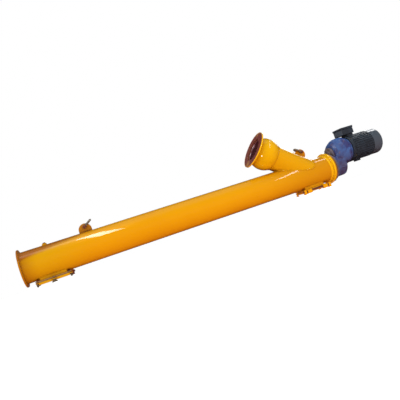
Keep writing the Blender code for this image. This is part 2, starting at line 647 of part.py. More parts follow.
def make_gearbox():
    """End plate, adapter and the two-part gear housing that lifts the motor above the casing's axis."""
    plate_start = TUBE_LENGTH + GAP
    plate_end = plate_start + END_PLATE_THICKNESS
    ring("drive_end_plate", END_PLATE_RADIUS, END_PLATE_BORE, plate_start, plate_end, CASING, "yellow_enamel")
    disc("gear_adapter", ADAPTER_RADIUS, plate_end + GAP, ADAPTER_END_X, CASING, "motor_paint")
    lower = disc("gear_lower_housing", LOWER_HOUSING_RADIUS, ADAPTER_END_X + GAP, LOWER_HOUSING_END_X, CASING,
                 "blue_enamel")
    fuse(lower, box("add_gear_neck", (NECK_START_X, -NECK_HALF_WIDTH, AXIS_Z),
                    (LOWER_HOUSING_END_X, NECK_HALF_WIDTH, AXIS_Z + MOTOR_AXIS_RISE)))
    disc("gear_bearing_cap", CAP_RADIUS, CAP_START_X, CAP_END_X, MOTOR, "brown_primer")
    outline = tuple(reversed(UPPER_HOUSING_PROFILE))
    first, last = outline[-1], outline[0]
    turned("gear_upper_housing", ((0.0, last[1]), *outline, (0.0, first[1])), MOTOR, "blue_enamel")
    grown = tuple((radius + GAP, x) for radius, x in outline)
    cap_reach = CAP_RADIUS + GAP
    cut(lower, turned("cut_upper_housing", ((0.0, last[1] + GAP), (last[0] + GAP, last[1] + GAP), *grown,
                                            (first[0] + GAP, CAP_END_X), (cap_reach, CAP_END_X),
                                            (cap_reach, CAP_START_X - GAP), (0.0, CAP_START_X - GAP)), MOTOR))


def make_motor():
    """End shield, finned stator and fan cowl on the upper axis, and the terminal box on top."""
    start = UPPER_HOUSING_PROFILE[-1][1] + GAP
    disc("motor_end_shield", MOTOR_RADIUS, start, END_SHIELD_END_X, MOTOR, "motor_paint")

    def fill_stator(bm):
        count = FIN_COUNT * POINTS_PER_FIN
        made = bmesh.ops.create_circle(bm, cap_ends=True, segments=count, radius=MOTOR_RADIUS)
        for vert in made["verts"]:
            turn = round(math.atan2(vert.co.y, vert.co.x) / math.tau * count)
            if turn % POINTS_PER_FIN >= POINTS_PER_FIN / 2:
                vert.co *= FIN_ROOT_RADIUS / MOTOR_RADIUS
            vert.co.z = END_SHIELD_END_X + GAP
        sides = bmesh.ops.extrude_face_region(bm, geom=bm.faces[:])
        top = [item for item in sides["geom"] if isinstance(item, bmesh.types.BMVert)]
        bmesh.ops.translate(bm, verts=top, vec=(0.0, 0.0, STATOR_END_X - END_SHIELD_END_X - GAP))
        bmesh.ops.recalc_face_normals(bm, faces=bm.faces)

    add_object("motor_stator", to_mesh("motor_stator", fill_stator), MOTOR, "motor_paint")
    rounding = [(COWL_RADIUS - COWL_ROUNDING + x, COWL_END_X - COWL_ROUNDING + y)
                for x, y in arc(COWL_ROUNDING, math.pi / 2, 0.0, COWL_ROUNDING_STEPS)]
    turned("motor_fan_cowl", ((0.0, COWL_END_X), *rounding, (COWL_RADIUS, STATOR_END_X + GAP),
                              (0.0, STATOR_END_X + GAP)), MOTOR, "cowl_paint")
    raised = Vector((0.0, 0.0, AXIS_Z))
    low, high = Vector(TERMINAL_BOX_LOW) + raised, Vector(TERMINAL_BOX_HIGH) + raised
    terminal = box("terminal_box", low, high, "motor_paint")
    fuse(terminal, box("add_terminal_foot", Vector(TERMINAL_FOOT_LOW) + raised,
                       Vector(TERMINAL_FOOT_HIGH) + raised))
    clear_of_fins = MOTOR_RADIUS / math.cos(math.pi / CASING_SIDES) + GAP
    cut(terminal, disc("cut_motor", clear_of_fins, low.x - CUT_REACH, STATOR_END_X, MOTOR))
    edge = TERMINAL_LID_OVERHANG
    box("terminal_box_lid", (low.x - edge, low.y - edge, high.z + GAP),
        (high.x + edge, high.y + edge, high.z + GAP + TERMINAL_LID_HEIGHT), "motor_paint")


def main():
    """Build the whole conveyor."""
    clear_scene()
    make_casing()
    make_screw()
    make_inlet()
    make_lifting()
    for name in HATCH_CENTRES_X:
        make_hatch(name)
    make_gearbox()
    make_motor()


if __name__ == "__main__":
    main()
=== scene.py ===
"""Looks of a tubular screw conveyor with a ball inlet, hinged hatches, lifting shackles and a geared motor.

Everything is in metres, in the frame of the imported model: +X along the casing towards the drive, +Z to the
side of the lifting lugs, and the origin on the discharge flange's face, at the lowest point of its ring.
"""
import logging
import math
from dataclasses import dataclass, field, replace
from enum import Enum
from typing import Callable, Sequence

import bmesh
import bpy
from mathutils import Matrix, Vector


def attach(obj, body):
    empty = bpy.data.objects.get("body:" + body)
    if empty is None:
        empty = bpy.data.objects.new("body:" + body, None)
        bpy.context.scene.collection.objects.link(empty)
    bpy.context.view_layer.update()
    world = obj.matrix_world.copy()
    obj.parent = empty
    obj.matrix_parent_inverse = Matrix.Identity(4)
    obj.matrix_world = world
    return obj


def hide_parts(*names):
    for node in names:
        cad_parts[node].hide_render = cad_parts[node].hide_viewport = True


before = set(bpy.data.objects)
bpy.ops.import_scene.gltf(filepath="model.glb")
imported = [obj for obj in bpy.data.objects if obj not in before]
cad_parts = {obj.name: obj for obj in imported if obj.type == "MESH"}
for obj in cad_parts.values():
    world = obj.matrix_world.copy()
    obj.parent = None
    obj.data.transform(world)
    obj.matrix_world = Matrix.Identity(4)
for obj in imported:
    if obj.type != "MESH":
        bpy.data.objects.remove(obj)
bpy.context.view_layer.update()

log = logging.getLogger("conveyor")

Point = tuple[float, float]
Colour = tuple[float, float, float]
Place = tuple[float, float, float]

GAP = 0.0003
WELD_DISTANCE = 0.000005
FINE_EDGE = 0.0006
PLATE_EDGE = 0.0009
TUBE_STEPS = 160
POINTS_A_RIPPLE = 4
AXIS_Z = 0.120
MOTOR_AXIS_Z = 0.224
CASING_RADIUS = 0.1095
DISCHARGE_HATCH_X = 0.181
INLET_HATCH_X = 2.296
DISCHARGE_LUG_X = 0.468
INLET_LUG_REACH = 0.143
SHACKLE_LEAN = math.radians(35.0)
UP = Vector((0.0, 0.0, 1.0))
ACROSS = Vector((0.0, 1.0, 0.0))
ALONG = Vector((1.0, 0.0, 0.0))


def about_x(x: float = 0.0, z: float = AXIS_Z) -> Matrix:
    """Return a frame whose Z lies along world X, at a height, starting at x."""
    return Matrix.Translation((x, 0.0, z)) @ Matrix.Rotation(math.radians(90.0), 4, "Y")


def about_y(place: Vector) -> Matrix:
    """Return a frame at a place whose Z lies along world Y."""
    return Matrix.Translation(place) @ Matrix.Rotation(math.radians(-90.0), 4, "X")


def facing(place: Sequence[float], normal: Sequence[float],
           side: Sequence[float] = (0.0, 1.0, 0.0)) -> Matrix:
    """Return a frame at a place with a given Z.

    Args:
        place: The frame's origin.
        normal: The direction of its Z.
        side: The direction that its Y keeps closest to.

    Returns:
        The frame as a matrix.
    """
    z = Vector(normal).normalized()
    x = Vector(side).cross(z).normalized()
    return Matrix.Translation(Vector(place)) @ Matrix((x, z.cross(x), z)).transposed().to_4x4()


def circle(radius: float, count: int, centre: Point = (0.0, 0.0), start: float = 0.0) -> list[Point]:
    """Return the points of a circle in a plane."""
    turns = (start + math.tau * i / count for i in range(count))
    return [(centre[0] + radius * math.cos(turn), centre[1] + radius * math.sin(turn)) for turn in turns]


def arc(radius: float, start: float, end: float, steps: int, centre: Point = (0.0, 0.0)) -> list[Point]:
    """Return the points of an arc between two angles in degrees, both ends included."""
    turns = (math.radians(start + (end - start) * i / steps) for i in range(steps + 1))
    return [(centre[0] + radius * math.cos(turn), centre[1] + radius * math.sin(turn)) for turn in turns]


def rounded_box(length: float, width: float, radius: float, steps: int = 5) -> list[Point]:
    """Return the outline of a rectangle with round corners, centred on the origin.

    Args:
        length: Its size along X.
        width: Its size along Y.
        radius: The radius of the corners.
        steps: The number of edges in a corner.

    Returns:
        The points, counter-clockwise.
    """
    x, y = length / 2 - radius, width / 2 - radius
    corners = ((x, y, 0.0), (-x, y, 90.0), (-x, -y, 180.0), (x, -y, 270.0))
    return [point for cx, cy, start in corners for point in arc(radius, start, start + 90.0, steps, (cx, cy))]


def stations(points: Sequence[Vector], reference: Vector, closed: bool = False,
             ripple: float = 0.0) -> list[Matrix]:
    """Return a frame at each point of a route, with Z along the route.

    Args:
        points: The route.
        reference: A direction that the route never follows, which keeps the frames from turning.
        closed: Whether the route comes back to its start, which is then repeated at the end.
        ripple: The share by which the frames swell and shrink along the route.

    Returns:
        One frame for each point, and the first one again for a closed route.
    """
    count = len(points)
    frames = []
    for i in range(count + (1 if closed else 0)):
        here = points[i % count]
        ahead = points[(i + 1) % count] if closed or i + 1 < count else here
        behind = points[(i - 1) % count] if closed or i > 0 else here
        swell = 1.0 + ripple * math.cos(math.tau * (i % count) / POINTS_A_RIPPLE)
        frames.append(facing(here, ahead - behind, reference) @ Matrix.Scale(swell, 4))
    return frames


class Shape:
    """A mesh in the making, whose parts are built with bmesh operators and placed in the model's frame."""

    SHARP = math.radians(38.0)

    def __init__(self) -> None:
        """Start with nothing."""
        self.bm = bmesh.new()

    def take(self, part: bmesh.types.BMesh, at: Matrix, edge: float = 0.0, material: int = 0,
             segments: int = 2) -> "Shape":
        """Merge a part's doubles, round its sharp edges, place it and add it.

        Args:
            part: The part, in its own frame, freed afterwards.
            at: The place of the part.
            edge: The width of the rounding on sharp edges, or none.
            material: The material index of the part's faces.
            segments: The number of faces across a rounding.

        Returns:
            This shape.
        """
        bmesh.ops.remove_doubles(part, verts=part.verts, dist=WELD_DISTANCE)
        bmesh.ops.recalc_face_normals(part, faces=part.faces)
        if edge > 0.0:
            sharp = [e for e in part.edges if e.calc_face_angle(0.0) > self.SHARP]
            bmesh.ops.bevel(part, geom=sharp, offset=edge, offset_type="OFFSET", segments=segments,
                            profile=0.5, affect="EDGES", material=-1, clamp_overlap=True)
        for face in part.faces:
            face.material_index = material
            face.smooth = True
        bmesh.ops.transform(part, matrix=at, verts=part.verts)
        mesh = bpy.data.meshes.new("part")
        part.to_mesh(mesh)
        part.free()
        self.bm.from_mesh(mesh)
        bpy.data.meshes.remove(mesh)
        return self

    def turn(self, profile: Sequence[Point], at: Matrix, steps: int = 96, closed: bool = False,
             edge: float = 0.0, material: int = 0) -> "Shape":
        """Spin a profile of (radius, height) points about local Z.

        Args:
            profile: The points, in order.
            at: The place of the part.
            steps: The number of faces round the axis.
            closed: Whether the profile is a loop, as for a ring.
            edge: The rounding on sharp edges.
            material: The material index.

        Returns:
            This shape.
        """
        part = bmesh.new()
        verts = [part.verts.new((radius, 0.0, height)) for radius, height in profile]
        edges = [part.edges.new(pair) for pair in zip(verts, verts[1:])]
        if closed:
            edges.append(part.edges.new((verts[-1], verts[0])))
        bmesh.ops.spin(part, geom=[*verts, *edges], cent=(0.0, 0.0, 0.0), axis=(0.0, 0.0, 1.0),
                       dvec=(0.0, 0.0, 0.0), angle=math.tau, steps=steps, use_merge=True)
        return self.take(part, at, edge, material)

    def disc(self, radius: float, low: float, high: float, at: Matrix, steps: int = 48, edge: float = 0.0,
             material: int = 0) -> "Shape":
        """Add a solid cylinder between two heights."""
        profile = ((0.0, high), (radius, high), (radius, low), (0.0, low))
        return self.turn(profile, at, steps, False, edge, material)

    def ring(self, outer: float, inner: float, low: float, high: float, at: Matrix, steps: int = 96,
             edge: float = 0.0, material: int = 0) -> "Shape":
        """Add a ring between two heights."""
        profile = ((outer, high), (outer, low), (inner, low), (inner, high))
        return self.turn(profile, at, steps, True, edge, material)

    def plate(self, loops: Sequence[Sequence[Point]], low: float, high: float, at: Matrix, edge: float = 0.0,
              material: int = 0) -> "Shape":
        """Fill an outline with its holes and extrude it between two heights.

        Args:
            loops: The outline first, then the holes.
            low: The height of the lower face.
            high: The height of the upper face.
            at: The place of the part.
            edge: The rounding on sharp edges.
            material: The material index.

        Returns:
            This shape.
        """
        part = bmesh.new()
        for loop in loops:
            verts = [part.verts.new((x, y, low)) for x, y in loop]
            for pair in zip(verts, verts[1:] + verts[:1]):
                part.edges.new(pair)
        bmesh.ops.triangle_fill(part, edges=part.edges[:], use_beauty=True)
        made = bmesh.ops.extrude_face_region(part, geom=part.faces[:])
        top = [item for item in made["geom"] if isinstance(item, bmesh.types.BMVert)]
        bmesh.ops.translate(part, verts=top, vec=(0.0, 0.0, high - low))
        return self.take(part, at, edge, material)

    def block(self, low: Sequence[float], high: Sequence[float], at: Matrix | None = None,
              edge: float = 0.0, segments: int = 2) -> "Shape":
        """Add a box between two corners.

        Args:
            low: The corner with the smallest coordinates.
            high: The corner with the largest coordinates.
            at: The place of the part, or none for the model's own frame.
            edge: The rounding on the edges.
            segments: The number of faces across a rounding.

        Returns:
            This shape.
        """
        part = bmesh.new()
        middle = Matrix.Translation((Vector(low) + Vector(high)) / 2)
        size = Vector(high) - Vector(low)
        bmesh.ops.create_cube(part, size=1.0, matrix=middle @ Matrix.Diagonal((*size, 1.0)))
        return self.take(part, at or Matrix.Identity(4), edge, segments=segments)

    def sweep(self, route: Sequence[Matrix], radius: float, sides: int, closed: bool = False) -> "Shape":
        """Extrude a round section from frame to frame along a route.

        Args:
            route: The frames, already in the model's frame.
            radius: The section's radius.
            sides: The number of faces round it.
            closed: Whether the last frame is the first one again.

        Returns:
            This shape.
        """
        part = bmesh.new()
        made = bmesh.ops.create_circle(part, segments=sides, radius=radius, cap_ends=not closed,
                                       matrix=route[0])
        edges = list({edge for vert in made["verts"] for edge in vert.link_edges})
        for before, after in zip(route, route[1:]):
            made = bmesh.ops.extrude_edge_only(part, edges=edges)["geom"]
            verts = [item for item in made if isinstance(item, bmesh.types.BMVert)]
            bmesh.ops.transform(part, matrix=after @ before.inverted(), verts=verts)
            fresh = set(verts)
            edges = [item for item in made
                     if isinstance(item, bmesh.types.BMEdge) and set(item.verts) <= fresh]
        if not closed:
            bmesh.ops.contextual_create(part, geom=edges)
        return self.take(part, Matrix.Identity(4))

    def _as_object(self, name: str) -> bpy.types.Object:
        """Make this shape an object.

        Args:
            name: The name of the object and of its mesh.

        Returns:
            The object, linked to the scene.
        """
        mesh = bpy.data.meshes.new(name)
        self.bm.to_mesh(mesh)
        obj = bpy.data.objects.new(name, mesh)
        bpy.context.scene.collection.objects.link(obj)
        return obj

    def _read_back(self, target: bpy.types.Object, *helpers: bpy.types.Object) -> "Shape":
        """Take the shape that an object's modifiers make, and remove the object and its helpers.

        Args:
            target: The object with the modifiers.
            *helpers: Other objects that the modifiers use.

        Returns:
            This shape.
        """
        mesh = bpy.data.meshes.new_from_object(target.evaluated_get(bpy.context.evaluated_depsgraph_get()))
        self.bm.clear()
        self.bm.from_mesh(mesh)
        bpy.data.meshes.remove(mesh)
        for obj in (target, *helpers):
            data = obj.data
            bpy.data.objects.remove(obj, do_unlink=True)
            bpy.data.meshes.remove(data)
        return self

    def carve(self, tool: "Shape") -> "Shape":
        """Take another shape away from this one.

        Args:
            tool: The shape to take away, which is used up.

        Returns:
            This shape.
        """
        target, cutter = self._as_object("carved"), tool._as_object("carver")
        modifier = target.modifiers.new("carve", "BOOLEAN")
        modifier.operation = "DIFFERENCE"
        modifier.solver = "EXACT"
        modifier.object = cutter
        return self._read_back(target, cutter)

    def meld(self, voxel: float, rounds: int) -> "Shape":
        """Fuse overlapping parts into one skin with soft joints, as in a casting.

        Args:
            voxel: The size of the skin's faces.
            rounds: How often the skin is smoothed.

        Returns:
            This shape.
        """
        target = self._as_object("melded")
        skin = target.modifiers.new("skin", "REMESH")
        skin.mode = "VOXEL"
        skin.voxel_size = voxel
        soft = target.modifiers.new("soft", "SMOOTH")
        soft.factor = 0.5
        soft.iterations = rounds
        return self._read_back(target)

    def repaint(self, chosen: Callable[[Vector, Vector], bool], material: int) -> "Shape":
        """Give a material index to some faces.

        Args:
            chosen: The test of a face's centre and normal.
            material: The index for the faces that it picks.

        Returns:
            This shape.
        """
        for face in self.bm.faces:
            if chosen(face.calc_center_median(), face.normal):
                face.material_index = material
        return self

    def finish(self, name: str, slot: str, *finishes: "Finish", body: str = "casing",
               stands_for: Sequence[str] = (), smooth: float = 48.0,
               weighted: bool = True) -> bpy.types.Object:
        """Turn the shape into a piece that rides on a body.

        Args:
            name: The piece's name.
            slot: A material slot's name; not used.
            *finishes: The finishes, in the order of the material indices.
            body: The body that it moves with.
            stands_for: The nodes that the piece replaces.
            smooth: The angle in degrees past which an edge is sharp.
            weighted: Whether large faces decide the shading at their rims.

        Returns:
            The piece.
        """
        obj = self._as_object(name)
        self.bm.free()
        for item in finishes:
            obj.data.materials.append(item.get())
        obj.data.shade_smooth()
        obj.data.set_sharp_from_angle(angle=math.radians(smooth))
        if weighted:
            modifier = obj.modifiers.new("even shading", "WEIGHTED_NORMAL")
            modifier.keep_sharp = True
        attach(obj, body)
        if stands_for:
            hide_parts(*stands_for)
        log.info("%s: %d faces on %s", name, len(obj.data.polygons), body)
        return obj


class Wire:
    """A shader socket that takes part in Python arithmetic."""

    def __init__(self, graph: "Nodes", socket: bpy.types.NodeSocket) -> None:
        """Wrap an output socket of a tree."""
        self.graph = graph
        self.socket = socket

    def __add__(self, other: "Wire | float") -> "Wire":
        """Add a value."""
        return self.graph.maths("ADD", self, other)

    def __radd__(self, other: float) -> "Wire":
        """Add to a value."""
        return self.graph.maths("ADD", other, self)

    def __sub__(self, other: "Wire | float") -> "Wire":
        """Subtract a value."""
        return self.graph.maths("SUBTRACT", self, other)

    def __rsub__(self, other: float) -> "Wire":
        """Subtract from a value."""
        return self.graph.maths("SUBTRACT", other, self)

    def __mul__(self, other: "Wire | float") -> "Wire":
        """Multiply by a value."""
        return self.graph.maths("MULTIPLY", self, other)

    def __rmul__(self, other: float) -> "Wire":
        """Multiply a value."""
        return self.graph.maths("MULTIPLY", other, self)

    def between(self, low: float, high: float) -> "Wire":
        """Return 0 below a value, 1 above another, and a smooth step between them."""
        return self.graph.node("ShaderNodeMapRange", {"interpolation_type": "SMOOTHSTEP"},
                               {"Value": self, "From Min": low, "From Max": high})


class Nodes:
    """A node tree whose sockets are wires."""

    def __init__(self, tree: bpy.types.NodeTree) -> None:
        """Take the tree that gets the nodes."""
        self.tree = tree

    def node(self, kind: str, settings: dict[str, object], inputs: dict[str | int, object],
             output: int | str = 0) -> Wire:
        """Add a node.

        Args:
            kind: The node's type.
            settings: Its properties.
            inputs: The value or link of each socket, by name or index.
            output: The socket to return, by name or index.

        Returns:
            The chosen output.
        """
        made = self.tree.nodes.new(kind)
        for key, value in settings.items():
            setattr(made, key, value)
        for key, value in inputs.items():
            self.feed(made.inputs[key], value)
        return Wire(self, made.outputs[output])

    def feed(self, socket: bpy.types.NodeSocket, value: "Wire | float | Sequence[float]") -> None:
        """Link a wire to a socket, or set the socket's own value.

        Args:
            socket: The input socket.
            value: The wire, number, vector or colour.
        """
        if isinstance(value, Wire):
            self.tree.links.new(value.socket, socket)
        elif socket.type == "RGBA" and len(value) == 3:
            socket.default_value = (*value, 1.0)
        else:
            socket.default_value = value

    def maths(self, operation: str, *values: "Wire | float") -> Wire:
        """Add a Math node."""
        return self.node("ShaderNodeMath", {"operation": operation}, dict(enumerate(values)))


class Graph(Nodes):
    """The node graph of one material."""

    SAMPLES = 6

    def __init__(self, name: str) -> None:
        """Start a material with its Principled shader.

        Args:
            name: The material's name.
        """
        self.material = bpy.data.materials.new(name)
        self.material.use_nodes = True
        super().__init__(self.material.node_tree)
        self.shader = self.tree.nodes["Principled BSDF"]
        self.place = self.node("ShaderNodeTexCoord", {}, {}, "Object")

    def blend(self, share: Wire, first: "Wire | Colour", second: "Wire | Colour") -> Wire:
        """Mix two colours."""
        return self.node("ShaderNodeMix", {"data_type": "RGBA"}, {"Factor": share, 6: first, 7: second}, 2)

    def stretched(self, x: float, y: float, z: float) -> Wire:
        """Return the object coordinates multiplied along each axis."""
        return self.node("ShaderNodeMapping", {}, {"Vector": self.place, "Scale": (x, y, z)})

    def noise(self, scale: float, detail: float = 3.0, roughness: float = 0.55, where: Wire | None = None,
              warp: float = 0.0) -> Wire:
        """Return fractal noise, from 0 to 1.

        Args:
            scale: Its scale in cycles per metre.
            detail: The number of finer layers.
            roughness: The share of each finer layer.
            where: The coordinates, or none for the object's.
            warp: How far the pattern is bent.

        Returns:
            The noise.
        """
        inputs = {"Vector": where or self.place, "Scale": scale, "Detail": detail, "Roughness": roughness,
                  "Distortion": warp}
        return self.node("ShaderNodeTexNoise", {}, inputs, "Fac")

    def axis(self, name: str) -> Wire:
        """Return one object coordinate."""
        return self.node("ShaderNodeSeparateXYZ", {}, {"Vector": self.place}, name)

    def facing_up(self) -> Wire:
        """Return how far the surface faces up, from -1 to 1."""
        normal = self.node("ShaderNodeNewGeometry", {}, {}, "Normal")
        return self.node("ShaderNodeSeparateXYZ", {}, {"Vector": normal}, "Z")

    def edges(self, radius: float) -> Wire:
        """Return a mask of sharp edges and creases.

        Args:
            radius: About how wide the mask is.

        Returns:
            The mask, from 0 to 1.
        """
        soft = self.node("ShaderNodeBevel", {"samples": self.SAMPLES}, {"Radius": radius})
        hard = self.node("ShaderNodeNewGeometry", {}, {}, "Normal")
        same = self.node("ShaderNodeVectorMath", {"operation": "DOT_PRODUCT"}, {0: soft, 1: hard}, "Value")
        return (1.0 - same).between(0.02, 0.2)

    def hollows(self, distance: float) -> Wire:
        """Return a mask of corners and creases, from ambient occlusion: where soiling and rust gather, and,
        where it darkens paint, painted shade.

        Args:
            distance: How far from a corner the mask reaches.

        Returns:
            The mask, from 0 to 1.
        """
        open_share = self.node("ShaderNodeAmbientOcclusion", {"samples": self.SAMPLES},
                               {"Distance": distance}, "AO")
        return (1.0 - open_share).between(0.25, 0.85)

    def distance(self, point: Sequence[float]) -> Wire:
        """Return the distance from a point of the model."""
        return self.node("ShaderNodeVectorMath", {"operation": "DISTANCE"}, {0: self.place, 1: point},
                         "Value")

    def bump(self, height: Wire, strength: float, distance: float) -> None:
        """Raise the surface by a height."""
        inputs = {"Height": height, "Strength": strength, "Distance": distance}
        self.set("Normal", self.node("ShaderNodeBump", {}, inputs))

    def set(self, name: str, value: "Wire | float | Sequence[float]") -> None:
        """Link or set a socket of the shader."""
        self.feed(self.shader.inputs[name], value)


@dataclass(frozen=True)
class Enamel:
    """Sprayed machine enamel: its colours, gloss, what age has done to it, and painted shade and light.

    Soiling and the painted shade in creases share one colour, and the painted shade on the top and towards
    the ends has another. Each colour patch is a place on the model and how far its colour reaches from it: a
    real dusty film on the primed flange, painted shade on the ball beside the branch, and a painted pool of
    light inside the ball.
    """

    name: str
    colour: Colour
    thin: Colour
    dirt_and_shade: Colour
    bare: Colour
    roughness: float = 0.22
    coat: float = 0.6
    orange_peel: float = 0.00001
    waviness: float = 0.0
    chipping: float = 0.5
    wear_width: float = 0.0016
    dirt_and_shade_strength: float = 0.6
    speckle: float = 0.0
    fading_and_shade: float = 0.0
    sheen: Colour = (1.0, 0.42, 0.03)
    painted_shade: Colour = (0.40, 0.125, 0.006)
    sunned: Colour = (0.72, 0.42, 0.0030)
    patch_colour: Colour = (0.46, 0.21, 0.07)
    colour_patches: tuple[tuple[float, float, float, float], ...] = ()

    def material(self) -> bpy.types.Material:
        """Build the material.

        Returns:
            The procedural material of this enamel.
        """
        graph = Graph(self.name)
        patches = graph.noise(22.0, 5.0, 0.6, warp=0.4)
        colour = self.weathered_and_shaded(graph, patches)
        # Ambient occlusion darkens the creases: painted shade in them, along with the soiling that gathers
        # there.
        grime_and_crease_shade = graph.hollows(0.045) * (patches.between(0.25, 0.6) * 0.4 + 0.6) * self.dirt_and_shade_strength
        spots = graph.noise(160.0, 2.0, 0.7).between(0.66, 0.74) * self.speckle
        colour = graph.blend(grime_and_crease_shade + spots, colour, self.dirt_and_shade)
        # Colour patches: a real dusty film, painted shade on the ball and a painted pool of light inside it.
        for *point, reach in self.colour_patches:
            share = graph.distance(point) * (patches * 0.5 + 0.75)
            colour = graph.blend((1.0 - share.between(reach * 0.3, reach)) * 0.9, colour, self.patch_colour)
        flaking = graph.noise(90.0, 4.0, 0.65).between(0.62 - 0.25 * self.chipping, 0.72)
        chips = graph.edges(self.wear_width) * flaking
        colour = graph.blend(chips, colour, self.bare)
        graph.set("Base Color", colour)
        graph.set("Roughness", (patches * 0.16 + (self.roughness - 0.08)) + (grime_and_crease_shade + chips) * 0.3)
        graph.set("Coat Weight", (1.0 - chips) * self.coat)
        graph.set("Coat Roughness", 0.045)
        graph.set("Specular IOR Level", 0.3)
        graph.set("Specular Tint", self.sheen)
        peel = graph.noise(420.0, 2.0, 0.5) * self.orange_peel
        waves = graph.noise(9.0, 2.0, 0.4) * self.waviness
        graph.bump(peel + waves - chips * 0.00015, 1.0, 1.0)
        return graph.material

    def weathered_and_shaded(self, graph: Graph, patches: Wire) -> Wire:
        """Return the paint's colour along the conveyor, without dirt and chips.

        The paint is sunned at the discharge end. Painted shade darkens it on its top towards the discharge
        end, next to the discharge flange, more weakly over the discharge end as a whole, and, less, towards
        the drive.

        Args:
            graph: The material's graph.
            patches: The noise that breaks the stain's rim.

        Returns:
            The colour.
        """
        clouds = graph.noise(3.5, 4.0).between(0.35, 0.7)
        colour = graph.blend(clouds * 0.4 + patches * 0.2, self.colour, self.thin)
        along = graph.axis("X")
        bleach = (1.0 - along.between(0.05, 0.6)) * self.fading_and_shade
        colour = graph.blend(bleach * 0.75, colour, self.sunned)
        # Painted shade: darker on the top towards the discharge end, next to the discharge flange and towards
        # the drive.
        shade_on_top = (graph.facing_up() - along * 0.9 + patches * 0.12).between(0.43, 0.73)
        shade_at_discharge = (1.0 - along.between(0.0, 0.6)) * 0.14 + (1.0 - along.between(0.0, 0.13)) * 0.6
        shade_at_drive = along.between(1.7, 2.35) * 0.32
        return graph.blend((shade_on_top + (shade_at_discharge + shade_at_drive)) * self.fading_and_shade, colour, self.painted_shade)


@dataclass(frozen=True)
class Casting:
    """Painted rough iron casting, darker and browner below the upper one of two heights."""

    name: str
    colour: Colour
    shade: Colour
    dirt_and_shade: Colour
    bare: Colour
    roughness: float = 0.45
    grain: float = 0.0004
    coat: float = 0.25
    chipping: float = 0.4
    blotches: float = 0.0
    low_tint: float = 0.0
    low_tint_colour: Colour = (0.120, 0.066, 0.030)
    low_tint_heights: tuple[float, float] = (0.09, 0.23)

    def material(self) -> bpy.types.Material:
        """Build the material.

        Returns:
            The procedural material of this casting.
        """
        graph = Graph(self.name)
        clouds = graph.noise(11.0, 5.0, 0.6, warp=0.5).between(0.38, 0.62)
        grains = graph.noise(260.0, 4.0, 0.6)
        colour = graph.blend(clouds, self.colour, self.shade)
        # Ambient occlusion darkens the creases as painted shade, and noise adds patches of soiling.
        grime_and_crease_shade = graph.hollows(0.04) * 0.9 + graph.noise(45.0, 5.0, 0.7).between(0.6, 0.8) * 0.35
        colour = graph.blend(grime_and_crease_shade, colour, self.dirt_and_shade)
        flaking = graph.noise(120.0, 4.0, 0.6).between(0.66 - 0.25 * self.chipping, 0.75)
        chips = graph.edges(0.0018) * flaking
        blotches = graph.noise(38.0, 3.0, 0.6, warp=0.8).between(0.60, 0.68) * self.blotches
        # Darker and browner below a height.
        low_down = 1.0 - graph.axis("Z").between(*self.low_tint_heights)
        colour = graph.blend(low_down * self.low_tint, colour, self.low_tint_colour)
        colour = graph.blend(chips + blotches, colour, self.bare)
        graph.set("Base Color", colour)
        graph.set("Roughness", grains * 0.18 + (self.roughness - 0.09) + grime_and_crease_shade * 0.25)
        graph.set("Coat Weight", (1.0 - grime_and_crease_shade) * self.coat)
        graph.set("Coat Roughness", 0.25)
        graph.bump(grains * self.grain + graph.noise(40.0, 3.0) * (self.grain * 2.0), 1.0, 1.0)
        return graph.material


@dataclass(frozen=True)
class Metal:
    """Unpainted metal with a coating, polish or rust."""

    name: str
    colour: Colour
    dull: Colour
    rust: Colour
    roughness: float = 0.4
    rusting: float = 0.3
    lines: Colour = (30.0, 30.0, 30.0)
    groove: float = 0.00008
    shine: float = 0.75

    def material(self) -> bpy.types.Material:
        """Build the material.

        Returns:
            The procedural material of this metal.
        """
        graph = Graph(self.name)
        streaks = graph.noise(8.0, 4.0, 0.6, graph.stretched(*self.lines))
        spangle = graph.noise(70.0, 4.0, 0.6, warp=0.3)
        colour = graph.blend(spangle.between(0.3, 0.7), self.colour, self.dull)
        eaten = graph.noise(35.0, 6.0, 0.7).between(0.78 - 0.45 * self.rusting, 0.86 - 0.35 * self.rusting)
        eaten = eaten * 0.8 + graph.hollows(0.008) * (0.25 + self.rusting * 0.5)
        colour = graph.blend(eaten, colour, self.rust)
        graph.set("Base Color", colour)
        graph.set("Metallic", (1.0 - eaten.between(0.2, 0.7) * 0.87) * self.shine)
        graph.set("Roughness", streaks * 0.2 + (self.roughness - 0.1) + eaten * 0.3)
        graph.bump(streaks * self.groove + eaten * 0.0002, 1.0, 1.0)
        return graph.material


@dataclass(frozen=True)
class Rubber:
    """Dull sheet rubber."""

    name: str
    colour: Colour
    patch_colour: Colour

    def material(self) -> bpy.types.Material:
        """Build the material.

        Returns:
            The procedural material of this rubber.
        """
        graph = Graph(self.name)
        bloom = graph.noise(60.0, 4.0, 0.6).between(0.4, 0.75)
        graph.set("Base Color", graph.blend(bloom * 0.7, self.colour, self.patch_colour))
        graph.set("Roughness", bloom * 0.15 + 0.7)
        graph.bump(graph.noise(300.0, 3.0, 0.6) * 0.0002, 1.0, 1.0)
        return graph.material


